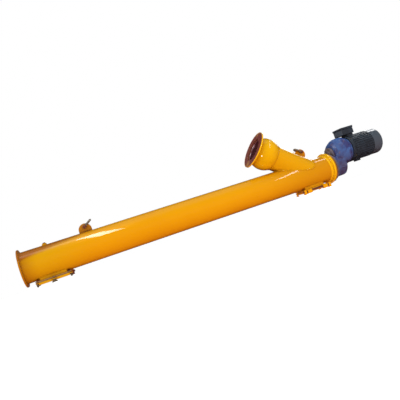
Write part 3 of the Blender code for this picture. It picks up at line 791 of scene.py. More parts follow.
class Finish(Enum):
    """Every finish on the conveyor."""

    YELLOW = Enamel("yellow_paint", (0.83, 0.382, 0.0030), (0.78, 0.330, 0.0025), (0.34, 0.090, 0.005),
                    (0.19, 0.07, 0.03), roughness=0.30, coat=1.0, dirt_and_shade_strength=0.95, waviness=0.0005,
                    fading_and_shade=0.85)
    # The ball's colour patch is painted shade: a darker orange on its side beside the branch.
    BALL_YELLOW = replace(YELLOW, name="ball_paint", colour=(0.88, 0.495, 0.0030),
                          thin=(0.83, 0.440, 0.0025), dirt_and_shade_strength=0.6, fading_and_shade=0.0, patch_colour=(0.58, 0.235, 0.0030),
                          colour_patches=((2.080, 0.000, 0.315, 0.175),))
    BRANCH_YELLOW = replace(YELLOW, name="branch_paint", colour=(0.84, 0.432, 0.0030),
                            thin=(0.80, 0.390, 0.0025), dirt_and_shade_strength=0.8, fading_and_shade=0.3)
    CLEAN_YELLOW = Enamel("clean_yellow_paint", (0.88, 0.400, 0.0035), (0.82, 0.340, 0.0030),
                          (0.40, 0.130, 0.006), (0.45, 0.18, 0.02), roughness=0.30, coat=0.8, chipping=0.3,
                          dirt_and_shade_strength=0.8)
    FLANGE_YELLOW = Enamel("worn_yellow_paint", (0.82, 0.340, 0.0040), (0.62, 0.200, 0.0030),
                           (0.24, 0.06, 0.008), (0.17, 0.06, 0.02), roughness=0.34, coat=0.4, chipping=1.2,
                           wear_width=0.005, dirt_and_shade_strength=1.0, speckle=0.35, fading_and_shade=0.95)
    # A lighter copy of the clean paint: painted highlight on the collar and on the rings' bright bands.
    RING_YELLOW = replace(CLEAN_YELLOW, name="lit_ring_paint", colour=(1.0, 0.600, 0.0080),
                          thin=(0.95, 0.53, 0.0060), dirt_and_shade_strength=0.5)
    # A darker copy of the flange paint: painted shade on the end plate.
    PLATE_YELLOW = replace(FLANGE_YELLOW, name="shaded_plate_paint", colour=(0.52, 0.230, 0.0120),
                           thin=(0.40, 0.150, 0.0090), fading_and_shade=0.2)
    LUG_YELLOW = Enamel("lug_paint", (0.52, 0.215, 0.012), (0.36, 0.125, 0.010), (0.20, 0.06, 0.010),
                        (0.14, 0.05, 0.02), roughness=0.36, coat=0.4, chipping=1.6, wear_width=0.005,
                        dirt_and_shade_strength=1.0, speckle=0.4)
    INSIDE = Enamel("inside_coating", (0.16, 0.060, 0.032), (0.12, 0.045, 0.025), (0.06, 0.028, 0.018),
                    (0.2, 0.15, 0.11), roughness=0.5, coat=0.1, chipping=0.8, speckle=0.6,
                    sheen=(1.0, 0.8, 0.7))
    PRIMER = Enamel("maroon_priming", (0.240, 0.060, 0.050), (0.175, 0.042, 0.046), (0.06, 0.016, 0.012),
                    (0.46, 0.21, 0.070), roughness=0.38, coat=0.3, chipping=2.4, wear_width=0.009,
                    dirt_and_shade_strength=0.7, speckle=0.3, sheen=(1.0, 0.7, 0.7),
                    colour_patches=((1.822, 0.030, 0.346, 0.055), (1.982, 0.000, 0.558, 0.030)))
    RIM = Enamel("bare_rim", (0.60, 0.290, 0.085), (0.42, 0.160, 0.050), (0.12, 0.04, 0.02),
                 (0.46, 0.21, 0.07), roughness=0.5, coat=0.1, dirt_and_shade_strength=0.6, speckle=0.5,
                 sheen=(1.0, 0.8, 0.7))
    # Its colour patches are a painted pool of light on the inside of the ball.
    MOUTH = Enamel("lit_priming", (0.30, 0.100, 0.110), (0.22, 0.070, 0.080), (0.10, 0.03, 0.03),
                   (0.46, 0.21, 0.07), roughness=0.34, coat=0.6, dirt_and_shade_strength=0.6, speckle=0.3,
                   sheen=(1.0, 0.8, 0.9), patch_colour=(1.0, 0.72, 0.78),
                   colour_patches=((1.944, 0.073, 0.481, 0.026), (1.926, 0.076, 0.469, 0.026),
                            (1.900, 0.085, 0.430, 0.022), (1.889, 0.076, 0.418, 0.018)))
    BLUE = Casting("blue_paint", (0.048, 0.136, 0.400), (0.038, 0.045, 0.185), (0.070, 0.042, 0.058),
                   (0.24, 0.13, 0.12), roughness=0.40, grain=0.00012, coat=0.45, blotches=0.5,
                   low_tint=0.4)
    BROWN = Casting("brown_priming", (0.195, 0.150, 0.150), (0.120, 0.105, 0.150), (0.07, 0.042, 0.040),
                    (0.20, 0.12, 0.10), roughness=0.55)
    MOTOR = Casting("slate_paint", (0.031, 0.046, 0.066), (0.025, 0.033, 0.045), (0.020, 0.021, 0.023),
                    (0.15, 0.14, 0.12), roughness=0.42, grain=0.0001, coat=0.3)
    COWL = Enamel("sheet_paint", (0.076, 0.099, 0.126), (0.055, 0.072, 0.090), (0.024, 0.026, 0.028),
                  (0.16, 0.15, 0.14), roughness=0.34, coat=0.8, sheen=(0.9, 0.95, 1.0))
    ZINC = Metal("zinc_plating", (0.33, 0.29, 0.23), (0.21, 0.17, 0.125), (0.11, 0.045, 0.016),
                 roughness=0.42, rusting=0.45, shine=0.45)
    WORN = Metal("worn_metal", (0.42, 0.41, 0.39), (0.25, 0.235, 0.22), (0.16, 0.09, 0.05),
                 roughness=0.35, rusting=0.45, shine=0.6)
    RUST = Metal("rusted_metal", (0.22, 0.070, 0.028), (0.15, 0.040, 0.016), (0.17, 0.036, 0.010),
                 roughness=0.6, rusting=1.0, shine=0.2)
    DARK_STEEL = Metal("weathered_metal", (0.20, 0.165, 0.085), (0.13, 0.10, 0.050), (0.13, 0.055, 0.020),
                       roughness=0.5, rusting=0.45, shine=0.15)
    RUBBER = Rubber("sheet_rubber", (0.32, 0.185, 0.055), (0.35, 0.235, 0.095))

    def get(self) -> bpy.types.Material:
        """Return the finish's material, built the first time.

        The finishes' names differ from those of the preview materials already in the file.

        Returns:
            The material.
        """
        return bpy.data.materials.get(self.value.name) or self.value.material()


@dataclass(frozen=True)
class Bolt:
    """Hexagon bolt or nut with its washer."""

    across: float = 0.013
    height: float = 0.0053
    washer: float = 0.0015

    def add(self, shape: Shape, at: Matrix, material: int = 0) -> None:
        """Put a bolt head on a face.

        Args:
            shape: The shape that takes it.
            at: A frame on the face, with Z pointing out of it.
            material: The material index.
        """
        corner = self.across / math.sqrt(3.0)
        shape.disc(corner * 1.15, 0.0, self.washer, at, 24, 0.0002, material)
        top = self.washer + self.height
        head = ((0.0, top), (corner * 0.88, top), (corner, top - self.height * 0.16), (corner, self.washer),
                (0.0, self.washer))
        turn = at.translation.x * 9.0 + at.translation.y * 31.0
        shape.turn(head, at @ Matrix.Rotation(turn, 4, "Z"), 6, material=material)


def bolt_circle(frame_of_ring: Matrix, radius: float, count: int, height: float, start: float = 0.5,
                flip: bool = False) -> list[Matrix]:
    """Return frames round a ring's axis, with Z along it or against it.

    Args:
        frame_of_ring: The ring's frame.
        radius: The radius of the circle.
        count: The number of frames.
        height: Their height along the axis.
        start: The place of the first one, in steps.
        flip: Whether Z points against the ring's axis.

    Returns:
        The frames.
    """
    turned = Matrix.Rotation(math.pi, 4, "X") if flip else Matrix.Identity(4)
    return [frame_of_ring @ Matrix.Translation((x, y, height)) @ turned
            for x, y in circle(radius, count, start=math.tau * start / count)]


def ring_with_holes(outer: float, inner: float, bolts: float, hole: float, count: int) -> list[list[Point]]:
    """Return the loops of a flange.

    Args:
        outer: The radius of its rim.
        inner: The radius of its bore.
        bolts: The radius of the bolt circle.
        hole: The radius of a bolt hole.
        count: The number of bolt holes.

    Returns:
        The rim, the bore and the holes.
    """
    holes = [circle(hole, 20, place) for place in circle(bolts, count, start=math.pi / count)]
    return [circle(outer, 128), circle(inner, 128), *holes]


@dataclass
class Casing:
    """The long tube with its end flanges, end plate, welds and grease boss.

    The plug's two parts are given by their radius and by their lower and upper height over the boss.
    """

    radius: float = CASING_RADIUS
    wall: float = 0.005
    length: float = 2.495
    flange_radius: float = 0.131
    discharge_thickness: float = 0.010
    drive_thickness: float = 0.012
    bolts_radius: float = 0.1203
    bolt_hole: float = 0.0048
    bolt_count: int = 8
    band_width: float = 0.022
    band_height: float = 0.0015
    end_plate_radius: float = 0.126
    end_plate_thickness: float = 0.014
    end_plate_bore: float = 0.0305
    window: tuple[float, float] = (0.142, 0.084)
    window_corner: float = 0.012
    window_heights: tuple[float, float] = (-0.02, 0.06)
    window_places: tuple[float, float] = (DISCHARGE_HATCH_X, INLET_HATCH_X)
    bolt_tip: tuple[float, float] = (-0.004, 0.0006)
    boss_x: float = 0.180
    boss_radius: float = 0.0155
    boss_height: float = 0.010
    boss_bead: float = 0.0022
    plug_seat: tuple[float, float, float] = (0.0105, -0.0005, 0.0012)
    plug_head: tuple[float, float, float] = (0.0092, 0.0008, 0.0064)
    bead: float = 0.0028

    def build(self, branch: "Inlet") -> None:
        """Make every piece of the casing.

        Args:
            branch: The inlet, whose bore opens into the tube.
        """
        self.tube(branch)
        self.flanges()
        self.boss()

    def tube(self, branch: "Inlet") -> None:
        """Make the tube, open under the inlet and above each hatch.

        Args:
            branch: The inlet, whose bore opens into the tube.
        """
        shape = Shape().ring(self.radius, self.radius - self.wall, 0.0, self.length, about_x(), TUBE_STEPS,
                             FINE_EDGE)
        opening = Shape().disc(branch.radius - branch.wall, 0.0, branch.ball_distance, branch.frame(), 128)
        shape.carve(opening)
        length, width = self.window
        for x in self.window_places:
            loops = [rounded_box(length, width, self.window_corner)]
            shape.carve(Shape().plate(loops, *self.window_heights, Matrix.Translation((x, 0.0, 0.0))))
        inner = self.radius - self.wall / 2
        shape.repaint(lambda centre, normal: math.hypot(centre.y, centre.z - AXIS_Z) < inner
                      and abs(normal.x) < 0.5, 1)
        shape.finish("casing_tube", "yellow_enamel", Finish.YELLOW, Finish.INSIDE,
                     stands_for=["discharge_tube", "middle_tube", "inlet_tube"])

    def round_weld(self, shape: Shape, x: float) -> None:
        """Lay a fillet weld round the tube.

        Args:
            shape: The shape that takes it.
            x: Its place along the tube.
        """
        ring = [Vector((x, y, AXIS_Z + z)) for y, z in circle(self.radius + self.bead * 0.35, 600)]
        shape.sweep(stations(ring, ALONG, closed=True, ripple=0.14), self.bead, 8, closed=True)

    def flanges(self) -> None:
        """Make both end flanges with bolt holes and welds, the band, the end plate and its bolts."""
        bore = self.radius + GAP
        loops = ring_with_holes(self.flange_radius, bore, self.bolts_radius, self.bolt_hole, self.bolt_count)
        shape = Shape().plate(loops, 0.0, self.discharge_thickness, about_x(), PLATE_EDGE)
        self.round_weld(shape, self.discharge_thickness + self.bead * 0.3)
        shape.finish("discharge_ring", "yellow_enamel", Finish.FLANGE_YELLOW,
                     stands_for=["discharge_flange"])

        start = self.length - self.drive_thickness
        shape = Shape().plate(loops, start, self.length, about_x(), PLATE_EDGE)
        shape.ring(self.radius + self.band_height, self.radius - self.wall / 2, start - self.band_width,
                   start - GAP, about_x(), TUBE_STEPS, FINE_EDGE)
        self.round_weld(shape, start - self.bead * 0.3)
        shape.finish("drive_ring", "yellow_enamel", Finish.RING_YELLOW, stands_for=["drive_flange"])

        loops = ring_with_holes(self.end_plate_radius, self.end_plate_bore, self.bolts_radius, self.bolt_hole,
                                self.bolt_count)
        plate_end = self.length + GAP + self.end_plate_thickness
        shape = Shape().plate(loops, self.length + GAP, plate_end, about_x(), PLATE_EDGE)
        shape.finish("end_plate", "yellow_enamel", Finish.PLATE_YELLOW, stands_for=["drive_end_plate"])

        shape = Shape()
        for at in bolt_circle(about_x(), self.bolts_radius, self.bolt_count, start, flip=True):
            shape.disc(self.bolt_hole - GAP, *self.bolt_tip, at, 20, 0.0004)
        for at in bolt_circle(about_x(), self.bolts_radius, self.bolt_count, plate_end):
            Bolt().add(shape, at, 1)
        shape.finish("drive_bolts", "yellow_enamel", Finish.RING_YELLOW, Finish.DARK_STEEL, smooth=30.0)

    def boss(self) -> None:
        """Make the grease boss with its weld and its hexagon plug."""
        foot = AXIS_Z + self.radius - 0.001
        at = Matrix.Translation((self.boss_x, 0.0, foot))
        top = self.boss_height + 0.001
        shape = Shape().disc(self.boss_radius, 0.0, top, at, 48, 0.0012)
        ring = [at @ Vector((x, y, 0.002)) for x, y in circle(self.boss_radius, 72)]
        shape.sweep(stations(ring, UP, closed=True, ripple=0.16), self.boss_bead, 8, closed=True)
        for part, steps, edge in ((self.plug_seat, 24, 0.0004), (self.plug_head, 6, FINE_EDGE)):
            radius, low, high = part
            shape.disc(radius, top + low, top + high, at, steps, edge, 1)
        shape.finish("hanger_grease_point", "yellow_enamel", Finish.YELLOW, Finish.RUST,
                     stands_for=["grease_boss"])


@dataclass
class Screw:
    """The conveying screw and the hanger bearing at its open end."""

    shaft_radius: float = 0.030
    stub_radius: float = 0.024
    stub_start: float = 0.120
    shoulder: float = 0.160
    shaft_end: float = 2.5093
    flight_radius: float = 0.101
    flight_start: float = 0.235
    pitch: float = 0.200
    turns: int = 11
    thickness: float = 0.004
    hanger_x: float = 0.180
    hanger_width: float = 0.030
    hanger_radius: float = 0.048
    hanger_ear: Place = (0.010, 0.011, 0.009)
    bush_wall: float = 0.006
    post_half_depth: float = 0.018
    post_reach: float = 0.1025

    def build(self) -> None:
        """Make the shaft, the flight and the hanger."""
        self.shaft()
        self.flight()
        self.hanger()

    def shaft(self) -> None:
        """Make the pipe shaft with its coupling stub and the stub's cross bolts."""
        profile = ((0.0, self.shaft_end), (self.shaft_radius, self.shaft_end),
                   (self.shaft_radius, self.shoulder), (self.stub_radius, self.shoulder),
                   (self.stub_radius, self.stub_start), (0.0, self.stub_start))
        shape = Shape().turn(profile, about_x(), 64, edge=0.0012)
        for side in (-1.0, 1.0):
            place = (self.stub_start + 0.016, side * (self.stub_radius - 0.002), AXIS_Z)
            Bolt(0.014, 0.006).add(shape, facing(place, (0.0, side, 0.0), (0.0, 0.0, 1.0)), 1)
        shape.finish("auger_shaft", "bright_steel", Finish.WORN, Finish.DARK_STEEL,
                     stands_for=["screw_shaft"])

    def flight(self) -> None:
        """Spin the helical blade and weld it to the shaft."""
        steps_a_turn = 60
        part = bmesh.new()
        half = self.thickness / 2
        inner, outer = self.shaft_radius + GAP, self.flight_radius
        corners = ((inner, -half), (outer - 0.0008, -half), (outer, -half + 0.0008), (outer, half - 0.0008),
                   (outer - 0.0008, half), (inner, half))
        verts = [part.verts.new((radius, 0.0, self.flight_start + offset)) for radius, offset in corners]
        blade = part.faces.new(verts)
        bmesh.ops.spin(part, geom=[blade, *blade.edges, *verts], cent=(0.0, 0.0, 0.0), axis=(0.0, 0.0, 1.0),
                       dvec=(0.0, 0.0, self.pitch / steps_a_turn), angle=math.tau * self.turns,
                       steps=self.turns * steps_a_turn)
        shape = Shape().take(part, about_x())
        count = self.turns * steps_a_turn * 2
        base = about_x()
        seam = []
        for i in range(count + 1):
            turn = math.tau * self.turns * i / count
            along = self.flight_start - half + self.pitch * self.turns * i / count
            seam.append(base @ Vector((inner * math.cos(turn), inner * math.sin(turn), along)))
        shape.sweep(stations(seam, ALONG, ripple=0.15), 0.0022, 6)
        shape.finish("auger_flight", "bright_steel", Finish.WORN, smooth=30.0, weighted=False,
                     stands_for=["discharge_flight", "middle_flight", "inlet_flight"])

    def hanger(self) -> None:
        """Make the split bearing housing, its bush and the post that hangs it in the tube."""
        half = self.hanger_width / 2
        at = about_x(self.hanger_x)
        bore = self.shaft_radius + self.bush_wall
        shape = Shape().ring(self.hanger_radius, bore, -half, half, at, 64, 0.0016)
        shape.ring(bore + 0.0001, self.shaft_radius + GAP, -half + 0.001, half - 0.001, at, 64, 0.0004, 1)
        width, depth = half - 0.003, self.post_half_depth
        low = (self.hanger_x - width, -depth, AXIS_Z + self.hanger_radius - 0.006)
        high = (self.hanger_x + width, depth, AXIS_Z + self.post_reach)
        shape.block(low, high, edge=0.0015)
        for side in (-1.0, 1.0):
            middle = Vector((self.hanger_x, side * self.hanger_radius, AXIS_Z))
            shape.block(middle - Vector(self.hanger_ear), middle + Vector(self.hanger_ear), edge=0.0018)
            for way in (-1.0, 1.0):
                place = middle + Vector((0.0, side * 0.002, way * self.hanger_ear[2]))
                Bolt(0.011, 0.005).add(shape, facing(place, (0.0, 0.0, way)), 2)
        shape.finish("hanger_housing", "brown_primer", Finish.BROWN, Finish.WORN,
                     Finish.DARK_STEEL, stands_for=["hanger_bearing"])


@dataclass
class Inlet:
    """The slanting branch with its ball, collar and primed flange. Distances run along the branch."""

    casing_radius: float = CASING_RADIUS
    foot_x: float = 2.339
    angle: float = 37.0
    radius: float = 0.103
    wall: float = 0.0045
    ball_distance: float = 0.445
    ball_radius: float = 0.130
    ball_wall: float = 0.005
    mouth_radius: float = 0.097
    collar: tuple[float, float] = (0.529, 0.539)
    collar_radius: float = 0.126
    collar_bore: float = 0.0998
    flange: tuple[float, float] = (0.5393, 0.5493)
    flange_radius: float = 0.151
    flange_rim: float = 0.1445
    flange_bore: float = 0.095
    bolts_radius: float = 0.1345
    bolt_hole: float = 0.0075
    bolt_count: int = 8
    bead: float = 0.0026
    saddle_bead: float = 0.0042

    def frame(self) -> Matrix:
        """Return the branch's frame: Z along it, X to its upper side."""
        return (Matrix.Translation((self.foot_x, 0.0, AXIS_Z))
                @ Matrix.Rotation(math.radians(self.angle - 90.0), 4, "Y"))

    def direction(self) -> Vector:
        """Return the branch's direction."""
        return self.frame().to_3x3().col[2]

    def saddle(self, radius: float, lift: float, count: int) -> list[Vector]:
        """Return points where a cylinder of a radius about the branch meets one about the casing.

        Args:
            radius: The radius about the branch.
            lift: How far the other cylinder stands out from the tube.
            count: The number of points.

        Returns:
            The points in the branch's frame.
        """
        return [Vector((x, y, self.foot_height(x, y, lift))) for x, y in circle(radius, count)]

    def foot_height(self, x: float, y: float, lift: float) -> float:
        """Return how far along the branch a line parallel to it meets the casing.

        Args:
            x: The line's place in the branch's frame.
            y: The same, across.
            lift: How far the surface that it meets stands out from the tube.

        Returns:
            The height in the branch's frame.
        """
        tilt = math.radians(self.angle)
        reach = math.sqrt((self.casing_radius + lift) ** 2 - y * y)
        return (reach - x * math.cos(tilt)) / math.sin(tilt)

    def build(self) -> None:
        """Make every piece of the inlet."""
        self.branch()
        self.ball()
        self.collar_ring()
        self.inlet_ring()

    def branch(self) -> None:
        """Make the branch from the tube to the ball, and its two welds."""
        count = 144
        part = bmesh.new()
        top = self.ball_distance - math.sqrt(self.ball_radius ** 2 - self.radius ** 2) - 0.0005
        for radius in (self.radius, self.radius - self.wall):
            made = bmesh.ops.create_circle(part, segments=count, radius=radius)
            for vert in made["verts"]:
                vert.co.z = self.foot_height(vert.co.x, vert.co.y, GAP)
            rim = list({edge for vert in made["verts"] for edge in vert.link_edges})
            extruded = bmesh.ops.extrude_edge_only(part, edges=rim)["geom"]
            for vert in (item for item in extruded if isinstance(item, bmesh.types.BMVert)):
                vert.co.z = top
        ends = [edge for edge in part.edges if edge.is_boundary]
        for high in (False, True):
            loops = [edge for edge in ends
                     if all((abs(vert.co.z - top) < 1e-5) == high for vert in edge.verts)]
            bmesh.ops.bridge_loops(part, edges=loops)
        shape = Shape().take(part, self.frame())
        shape.repaint(lambda centre, normal: self._is_inside(centre, self.radius - self.wall / 2), 1)
        seam = [self.frame() @ point for point in self.saddle(self.radius + 0.001, 0.001, 640)]
        route = stations(seam, self.direction(), closed=True, ripple=0.16)
        shape.sweep(route, self.saddle_bead, 8, closed=True)
        self.round_weld(shape, self.radius + 0.0008, top)
        shape.finish("branch_pipe", "yellow_enamel", Finish.BRANCH_YELLOW, Finish.INSIDE,
                     stands_for=["inlet_branch"])

    def round_weld(self, shape: Shape, radius: float, height: float) -> None:
        """Lay a weld round the branch's axis.

        Args:
            shape: The shape that takes it.
            radius: Its radius.
            height: Its distance along the branch.
        """
        seam = [self.frame() @ Vector((x, y, height)) for x, y in circle(radius, 560)]
        route = stations(seam, self.direction(), closed=True, ripple=0.14)
        shape.sweep(route, self.bead, 8, closed=True)

    def _is_inside(self, point: Vector, radius: float) -> bool:
        """Tell whether a point lies within a radius of the branch's axis."""
        local = self.frame().inverted() @ point
        return math.hypot(local.x, local.y) < radius

    def ball(self) -> None:
        """Turn the ball as a shell, yellow outside and primed inside."""
        mouth = math.degrees(math.acos(self.mouth_radius / self.ball_radius))
        foot = -math.degrees(math.acos((self.radius - self.wall) / self.ball_radius))
        outer = arc(self.ball_radius, mouth, foot, 40)
        inner = arc(self.ball_radius - self.ball_wall, foot, mouth, 40)
        at = self.frame() @ Matrix.Translation((0.0, 0.0, self.ball_distance))
        shape = Shape().turn(outer + inner, at, 128, closed=True)
        centre = at.translation
        limit = self.ball_radius - self.ball_wall * 0.2
        shape.repaint(lambda place, normal: (place - centre).length < limit, 1)
        shape.finish("ball_shell", "yellow_enamel", Finish.BALL_YELLOW, Finish.MOUTH,
                     stands_for=["inlet_ball"])

    def collar_ring(self) -> None:
        """Make the collar between the ball and the flange, with its weld."""
        low, high = self.collar
        shape = Shape().ring(self.collar_radius, self.collar_bore, low, high, self.frame(), 128, 0.001)
        inside = self.collar_bore + 0.0012
        self.round_weld(shape, inside, low - 0.0008)
        shape.repaint(lambda centre, normal: self._is_inside(centre, inside), 1)
        shape.finish("ball_collar", "yellow_enamel", Finish.RING_YELLOW, Finish.PRIMER,
                     stands_for=["inlet_collar"])

    def inlet_ring(self) -> None:
        """Make the primed flange with its bolt holes."""
        low, high = self.flange
        loops = ring_with_holes(self.flange_rim, self.flange_bore, self.bolts_radius, self.bolt_hole,
                                self.bolt_count)
        shape = Shape().plate(loops, low, high, self.frame())
        shape.ring(self.flange_radius, self.flange_rim, low, high, self.frame(), 128, PLATE_EDGE, 1)
        shape.repaint(lambda centre, normal: not self._is_inside(centre, self.flange_radius - GAP), 2)
        shape.finish("primed_flange", "red_primer", Finish.PRIMER, Finish.RIM, Finish.RING_YELLOW,
                     stands_for=["inlet_flange"])


@dataclass
class Lifting:
    """A lifting lug and its shackle."""

    name: str
    base: Vector
    along: Vector
    up: Vector
    reach: Vector
    paint: Finish
    width: float = 0.092
    height: float = 0.060
    thickness: float = 0.010
    hole_height: float = 0.036
    pin_radius: float = 0.006
    half_jaw: float = 0.017
    bow_reach: float = 0.062
    bar_radius: float = 0.0072
    ear_radius: float = 0.013
    pin_half_length: float = 0.034

    def build(self) -> None:
        """Make the lug and the shackle."""
        self.lug()
        self.shackle()

    def hole(self) -> Vector:
        """Return the centre of the lug's hole."""
        return self.base + self.up * self.hole_height

    def lug(self) -> None:
        """Make the D-shaped plate with a weld along both sides of its foot."""
        half = self.width / 2
        outline = [(-half, GAP), (half, GAP), *arc(half, 0.0, 180.0, 40, (0.0, self.height - half))]
        frame_of_lug = facing(self.base, self.along.cross(self.up), self.up)
        if (frame_of_lug.to_3x3().col[0] - self.along).length > 1.0:
            frame_of_lug = facing(self.base, self.up.cross(self.along), self.up)
        loops = [outline, circle(self.pin_radius + 0.0012, 28, (0.0, self.hole_height))]
        shape = Shape().plate(loops, -self.thickness / 2, self.thickness / 2, frame_of_lug, 0.001)
        for side in (-1.0, 1.0):
            y = side * (self.thickness / 2 + 0.0006)
            line = [self.base + self.along * (half * (i / 60 - 1.0)) + ACROSS * y + self.up * 0.0015
                    for i in range(121)]
            shape.sweep(stations(line, ACROSS, ripple=0.18), 0.0032, 8)
        shape.finish(f"{self.name}_lifting_plate", "yellow_enamel", self.paint,
                     stands_for=[f"{self.name}_lug"])

    def shackle(self) -> None:
        """Make the forged bow with its eyes, and the screw pin."""
        body = f"{self.name}_shackle"
        hole = self.hole()
        crown = hole + self.reach * (self.bow_reach - self.half_jaw)
        line = [hole + ACROSS * self.half_jaw + self.reach * (self.ear_radius * 0.5)]
        for x, y in arc(self.half_jaw, 90.0, -90.0, 24):
            line.append(crown + self.reach * x + ACROSS * y)
        line.append(hole - ACROSS * self.half_jaw + self.reach * (self.ear_radius * 0.5))
        shape = Shape().sweep(stations(line, self.reach.cross(ACROSS)), self.bar_radius, 16)
        for side in (-1.0, 1.0):
            at = about_y(hole + ACROSS * (side * self.half_jaw))
            half = self.bar_radius * 0.9
            shape.ring(self.ear_radius, self.pin_radius + 0.0004, -half, half, at, 32, 0.0022)
        shape.finish(f"{self.name}_bow", "zinc_steel", Finish.ZINC, body=body,
                     stands_for=[f"{self.name}_shackle_bow"])
        head = self.half_jaw + self.bar_radius + GAP
        at = about_y(hole)
        shape = Shape().disc(self.pin_radius, -head - 0.004, head + 0.001, at, 24, 0.0005)
        shape.disc(self.pin_radius * 1.7, head, head + 0.003, at, 24, FINE_EDGE)
        eye = at @ Matrix.Translation((0.0, 0.0, self.pin_half_length - 0.0062)) @ Matrix.Rotation(
            math.radians(90.0), 4, "X")
        shape.ring(0.0061, 0.0026, -0.0025, 0.0025, eye, 24, 0.001)
        nut = at @ Matrix.Rotation(math.pi, 4, "X") @ Matrix.Translation((0.0, 0.0, head))
        Bolt(0.017, 0.007, 0.001).add(shape, nut)
        shape.finish(f"{self.name}_pin", "zinc_steel", Finish.RUST, body=body,
                     stands_for=[f"{self.name}_shackle_pin"])


@dataclass
class Hatch:
    """An inspection hatch under the tube: frame, gasket, hinged cover, rod and wing screws."""

    name: str
    centre: float
    side: float
    paint: Finish
    lug_paint: Finish
    lip_paint: Finish
    end_screw_paint: Finish
    casing_radius: float = CASING_RADIUS
    box: tuple[float, float] = (0.184, 0.118)
    box_wall: float = 0.006
    lip: tuple[float, float] = (0.206, 0.150)
    lip_top: float = 0.008
    lip_bottom: float = 0.003
    gasket_bottom: float = -0.0023
    cover_top: float = -0.0026
    plate_bottom: float = -0.0076
    cover_bottom: float = -0.0186
    rim: float = 0.004
    rod_y: float = 0.085
    rod_z: float = -0.0065
    rod_radius: float = 0.006
    rod_length: float = 0.272
    lug_bottom: float = -0.030
    lug_back: float = 0.096
    lug_front: float = 0.0765
    lug_offset: float = 0.1085
    lug_thickness: float = 0.020
    arm_root: float = 0.101
    knuckle_radius: float = 0.011
    knuckle_length: float = 0.040
    knuckle_spread: float = 0.076
    knuckle_bottom: float = -0.0255
    ear_width: float = 0.030
    ear_root: float = -0.0145
    ear_reach: float = 0.011
    ear_hole: float = 0.0065
    box_top: float = 0.075
    tube_cut: float = 0.2
    stiffener_places: tuple[float, float] = (-0.045, 0.045)
    stiffener_depth: float = 0.007
    bead: float = 0.0028
    screw_radius: float = 0.004
    wing_span: float = 0.036
    wing_rounding: float = 0.0062
    wing_half_thickness: float = 0.0018
    hub_length: float = 0.0205
    screws: list[tuple[float, float, Vector]] = field(default_factory=list)

    def __post_init__(self) -> None:
        """Work out where the wing screws stand."""
        near = -self.side
        self.screws = [(-0.112, near * 0.055, Vector((-1.0, 0.0, 0.0))),
                       (0.0, near * 0.087, Vector((0.0, near, 0.0))),
                       (0.112, near * 0.055, Vector((1.0, 0.0, 0.0)))]

    def build(self) -> None:
        """Make every piece of the hatch."""
        self.frame_piece()
        self.gasket()
        self.cover()
        self.rod()
        for number, (x, y, outward) in enumerate(self.screws, 1):
            self.wing_screw(number, x, y, outward)

    def at(self) -> Matrix:
        """Return the hatch's frame."""
        return Matrix.Translation((self.centre, 0.0, 0.0))

    def ear(self, x: float, y: float, outward: Vector, hole: float) -> tuple[list[list[Point]], Matrix]:
        """Return the loops of a rounded ear round a screw, and its frame.

        Args:
            x: The screw's place along the hatch.
            y: The screw's place across it.
            outward: The direction in which the ear stands out.
            hole: The radius of its hole.

        Returns:
            The loops and the frame in which they lie.
        """
        half = self.ear_width / 2
        tip = arc(half, -90.0, 90.0, 12, (-half + self.ear_reach, 0.0))
        loops = [[(self.ear_root, -half), *tip, (self.ear_root, half)], circle(hole, 20)]
        return loops, Matrix.Translation((self.centre + x, y, 0.0)) @ Matrix.Rotation(
            math.atan2(outward.y, outward.x), 4, "Z")

    def frame_piece(self) -> None:
        """Make the welded box with its lip, ears and hinge lugs."""
        length, width = self.box
        inner = (length - 2 * self.box_wall, width - 2 * self.box_wall)
        wall = [rounded_box(length, width, 0.010), rounded_box(*inner, 0.005)]
        shape = Shape().plate(wall, self.lip_top - 0.0005, self.box_top, self.at())
        start, end = self.centre - self.tube_cut, self.centre + self.tube_cut
        shape.carve(Shape().disc(self.casing_radius + GAP, start, end, about_x(), TUBE_STEPS))
        lip = [rounded_box(*self.lip, 0.008), rounded_box(*inner, 0.005)]
        shape.plate(lip, self.lip_bottom, self.lip_top, self.at(), 0.0008)
        for x, y, outward in self.screws:
            loops, at = self.ear(x, y, outward, self.ear_hole)
            shape.plate(loops, self.lip_bottom + 0.0001, self.lip_top - 0.0001, at, 0.0007)
        for end in (-1.0, 1.0):
            self.hinge_lug(shape, end)
        self.box_weld(shape, length, width)
        shape.repaint(lambda centre, normal: self.lip_bottom < centre.z < self.lip_top
                      and abs(normal.z) < 0.5 and abs(centre.y) > width / 2 + 0.002, 2)
        shape.finish(f"{self.name}_hatch_box", "yellow_enamel", self.paint, self.lug_paint, self.lip_paint,
                     stands_for=[f"{self.name}_hatch_frame"])

    def hinge_lug(self, shape: Shape, end: float) -> None:
        """Add one of the plates that carry the rod.

        Args:
            shape: The shape that takes it.
            end: The end of the hatch, -1 or 1.
        """
        inner = self.centre + end * (self.lug_offset + 0.0002)
        outer = self.centre + end * (self.lug_offset + self.lug_thickness - 0.0002)
        low, high = sorted((inner, outer))
        reach = self.lug_back - self.rod_y
        front = self.lug_front - self.rod_y
        height = self.lip_top - self.rod_z - 0.0004
        foot = self.lug_bottom - self.rod_z
        outline = [(front, height), (front, foot + 0.003), (front + 0.003, foot), (reach - 0.005, foot),
                   *arc(0.005, -90.0, 0.0, 5, (reach - 0.005, foot + 0.005)), (reach, height)]
        loops = [outline, circle(self.rod_radius + 0.0006, 24)]
        across = Vector((0.0, self.side, 0.0))
        normal = across.cross(UP)
        middle = (low + high) / 2
        at = Matrix.Translation((middle, self.side * self.rod_y, self.rod_z)) @ Matrix(
            (across, UP, normal)).transposed().to_4x4()
        half = (high - low) / 2
        shape.plate(loops, -half, half, at, 0.0012, 1)
        reach_x = sorted((self.centre + end * self.arm_root, outer))
        reach_y = sorted((self.side * 0.060, self.side * (self.lug_back - 0.0004)))
        shape.block((reach_x[0], reach_y[0], self.lip_bottom + 0.0002),
                    (reach_x[1], reach_y[1], self.lip_top - 0.0002), edge=FINE_EDGE)

